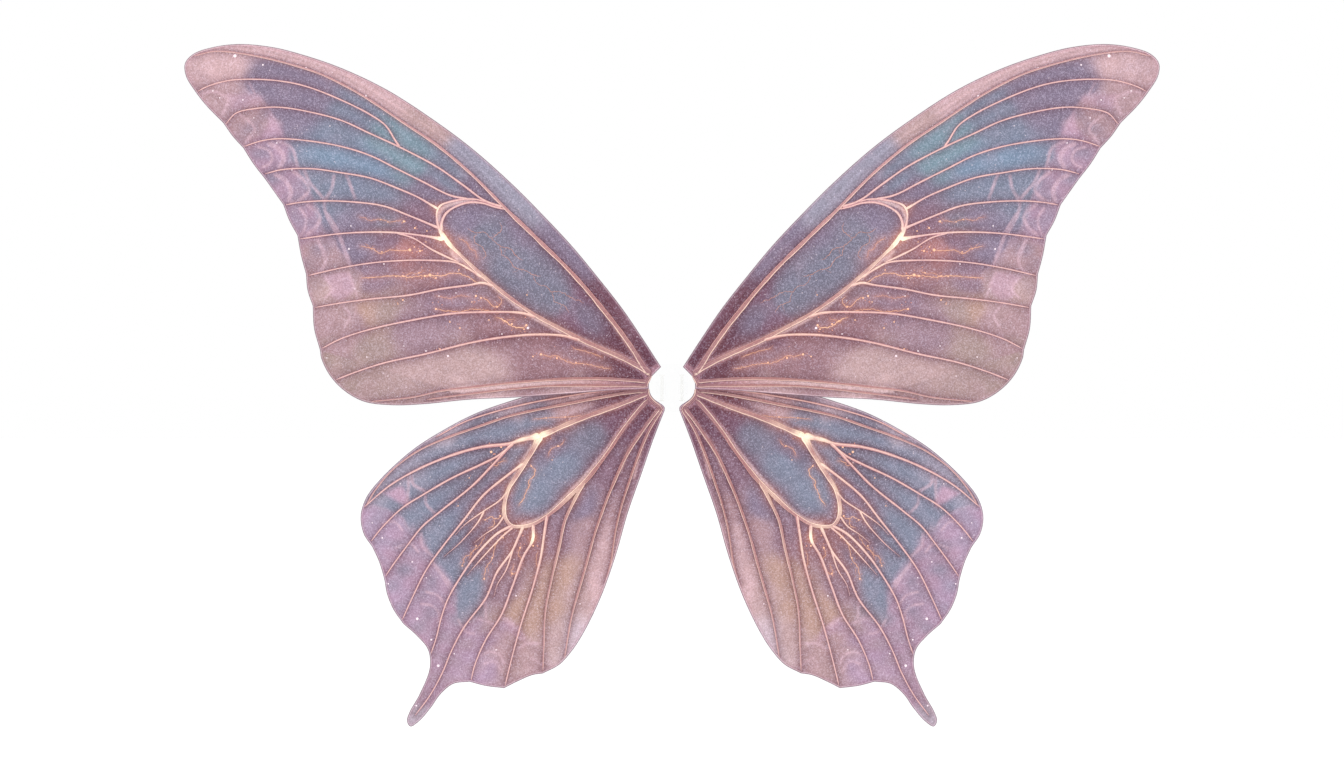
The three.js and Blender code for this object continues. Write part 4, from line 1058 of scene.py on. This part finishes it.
def edge_material():
    m = Nodes("bound_edge")
    colour = m.attribute("pool", "Color")
    colour = m.mix(0.38, colour, (232, 202, 214))
    colour = m.mix(m.attribute("dark"), colour, (92, 58, 78))
    colour, fine = grain(m, colour, 0.4)
    m.set(Base_Color=colour, Roughness=0.42, Coat_Weight=0.15, Coat_Roughness=0.25)
    return m.bump(fine, 0.2, 0.0002).material


def plain_material(name, base, dark, light, rough, scale=240, **values):
    m = Nodes(name)
    tone = m.noise(scale, 3.0, 0.6)
    colour = m.mix(m.span(tone, 0.5, 0.25, 0, 0.5), base, dark)
    colour = m.mix(m.span(tone, 0.5, 0.75, 0, 0.5), colour, light)
    m.set(Base_Color=colour, Roughness=m.span(tone, 0.3, 0.7, rough[0], rough[1]), **values)
    return m.bump(tone, 0.12, 0.0001).material


# ---- The wings ----

PANELS = [
    Panel("forewing", FORE_RUNS, FORE_MARGIN, FORE_WEBS, FORE_LINES, veins=FORE_VEINS, pools=FORE_POOLS,
          margin_pools=FORE_MARGIN_POOLS, patches=FORE_PATCHES, glows=FORE_GLOWS, threads=FORE_THREADS,
          beads=FORE_BEADS, stars=FORE_STARS),
    Panel("hindwing", HIND_RUNS, HIND_MARGIN, HIND_WEBS, HIND_LINES, veins=HIND_VEINS, pools=HIND_POOLS,
          margin_pools=HIND_MARGIN_POOLS, patches=HIND_PATCHES, glows=HIND_GLOWS, threads=HIND_THREADS,
          beads=HIND_BEADS, stars=HIND_STARS),
]
printed, bound = film_material(), edge_material()
# The veins and threads carry painted glow through their emission.
pearly_and_glowing, gilded_and_glowing = vein_material("pearly_glowing_vein", 0.35), vein_material("gilt_glowing_thread", 0.5)

for panel in PANELS:
    front, back = printed_face(panel, FILM_STEP), printed_face(panel, BACK_STEP, see_veins=True)
    low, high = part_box(f"right_{panel.name}_film")
    y_mid = (low.y + high.y) / 2 / MM
    face = y_mid - FILM_THICKNESS / 2
    veins, threads = vein_sweeps(panel, face), thread_sweeps(panel, face)
    for side, sign in (("right", 1), ("left", -1)):
        body = f"{side}_{panel.name}"
        film = film_mesh(f"{body}_printed_film", sign, y_mid, front, back)
        ridges = veins.build(f"{body}_raised_veins", sign)
        glowing_gilt = threads.build(f"{body}_glowing_threads", sign)
        lip = edge_mesh(panel, f"{body}_bound_edge", sign, y_mid)
        for piece, slot, finish in ((film, "film", printed), (ridges, "vein", pearly_and_glowing), (glowing_gilt, "vein", gilded_and_glowing),
                                    (lip, "edge", bound)):
            piece.data.materials.append(finish)
            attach(piece, body)
        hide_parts(f"{body}_film")
        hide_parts(f"{body}_veins")
        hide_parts(f"{body}_edge")

# ---- Materials of the pieces that stay as they are ----

clear = plain_material("clear_plastic", (254, 254, 254), (248, 250, 252), (255, 255, 255), (0.02, 0.05),
                       Transmission_Weight=1.0, IOR=1.01, Specular_IOR_Level=0.2)
steel = plain_material("brushed_steel", (178, 180, 184), (140, 142, 146), (214, 216, 220), (0.22, 0.4), 600,
                       Metallic=1.0)
nylon = plain_material("white_nylon", (250, 249, 247), (240, 238, 234), (254, 254, 253), (0.4, 0.55))
rods = plain_material("pultruded_rod", (176, 140, 156), (150, 112, 130), (206, 176, 188), (0.35, 0.5), 420)
milky = plain_material("natural_nylon", (252, 252, 250), (246, 246, 242), (255, 255, 255), (0.05, 0.12),
                       Transmission_Weight=0.96, IOR=1.01, Specular_IOR_Level=0.1)
finishes = {"hub": clear, "carrier": clear, "plate": clear, "pin": milky, "clip": milky, "screw": steel,
            "washer": nylon, "spacer": nylon, "spar": rods}
for name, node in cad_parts.items():
    finish = finishes.get(name.split("_")[-1])
    if finish:
        node.data.materials.clear()
        node.data.materials.append(finish)

# ---- Floor, light and camera ----


def area_light(name, energy, size, place, colour):
    """A soft rectangular light that points at the middle."""
    data = bpy.data.lights.new(name, "AREA")
    data.energy, data.shape, data.color = energy, "RECTANGLE", colour
    data.size, data.size_y = size
    lamp = bpy.data.objects.new(name, data)
    lamp.location = place
    lamp.rotation_euler = (-Vector(place)).to_track_quat("-Z", "Y").to_euler()
    bpy.context.scene.collection.objects.link(lamp)


FLOOR_SIZE, FLOOR_HEIGHT = 30, -0.42
corners = [(x * FLOOR_SIZE, y * FLOOR_SIZE, FLOOR_HEIGHT) for x, y in ((-1, -1), (1, -1), (1, 1), (-1, 1))]
floor = make("floor", corners, [(0, 1, 2, 3)])
pale = plain_material("pale_floor", (250, 250, 250), (246, 246, 246), (253, 253, 253), (0.7, 0.8), 3,
                      Emission_Color=(1, 1, 1, 1), Emission_Strength=0.12)
floor.data.materials.append(pale)

world = bpy.data.worlds.new("studio")
world.use_nodes = True
world.node_tree.nodes["Background"].inputs["Color"].default_value = (1, 1, 1, 1)
world.node_tree.nodes["Background"].inputs["Strength"].default_value = 1.0
bpy.context.scene.world = world

area_light("key", 20, (1.6, 1.2), (-1.6, -2.6, 1.9), (1.0, 0.97, 0.95))
area_light("fill", 9, (2.2, 2.2), (2.2, -2.2, 0.4), (0.96, 0.97, 1.0))

LENS, SENSOR = 120.0, 36.0
PICTURE_WIDTH = 1.344  # metres across the picture, at the film
PICTURE_Y, CAMERA_Z = -0.016, 0.004  # where that width is measured, and the camera's height
camera = bpy.data.objects.new("camera", bpy.data.cameras.new("camera"))
camera.data.lens, camera.data.sensor_width = LENS, SENSOR
camera.location = (0, PICTURE_Y - PICTURE_WIDTH * LENS / SENSOR, CAMERA_Z)
camera.rotation_euler = (math.pi / 2, 0, 0)
camera.data.clip_end = 100
bpy.context.scene.collection.objects.link(camera)
bpy.context.scene.camera = camera
bpy.context.scene.view_settings.view_transform = "Standard"
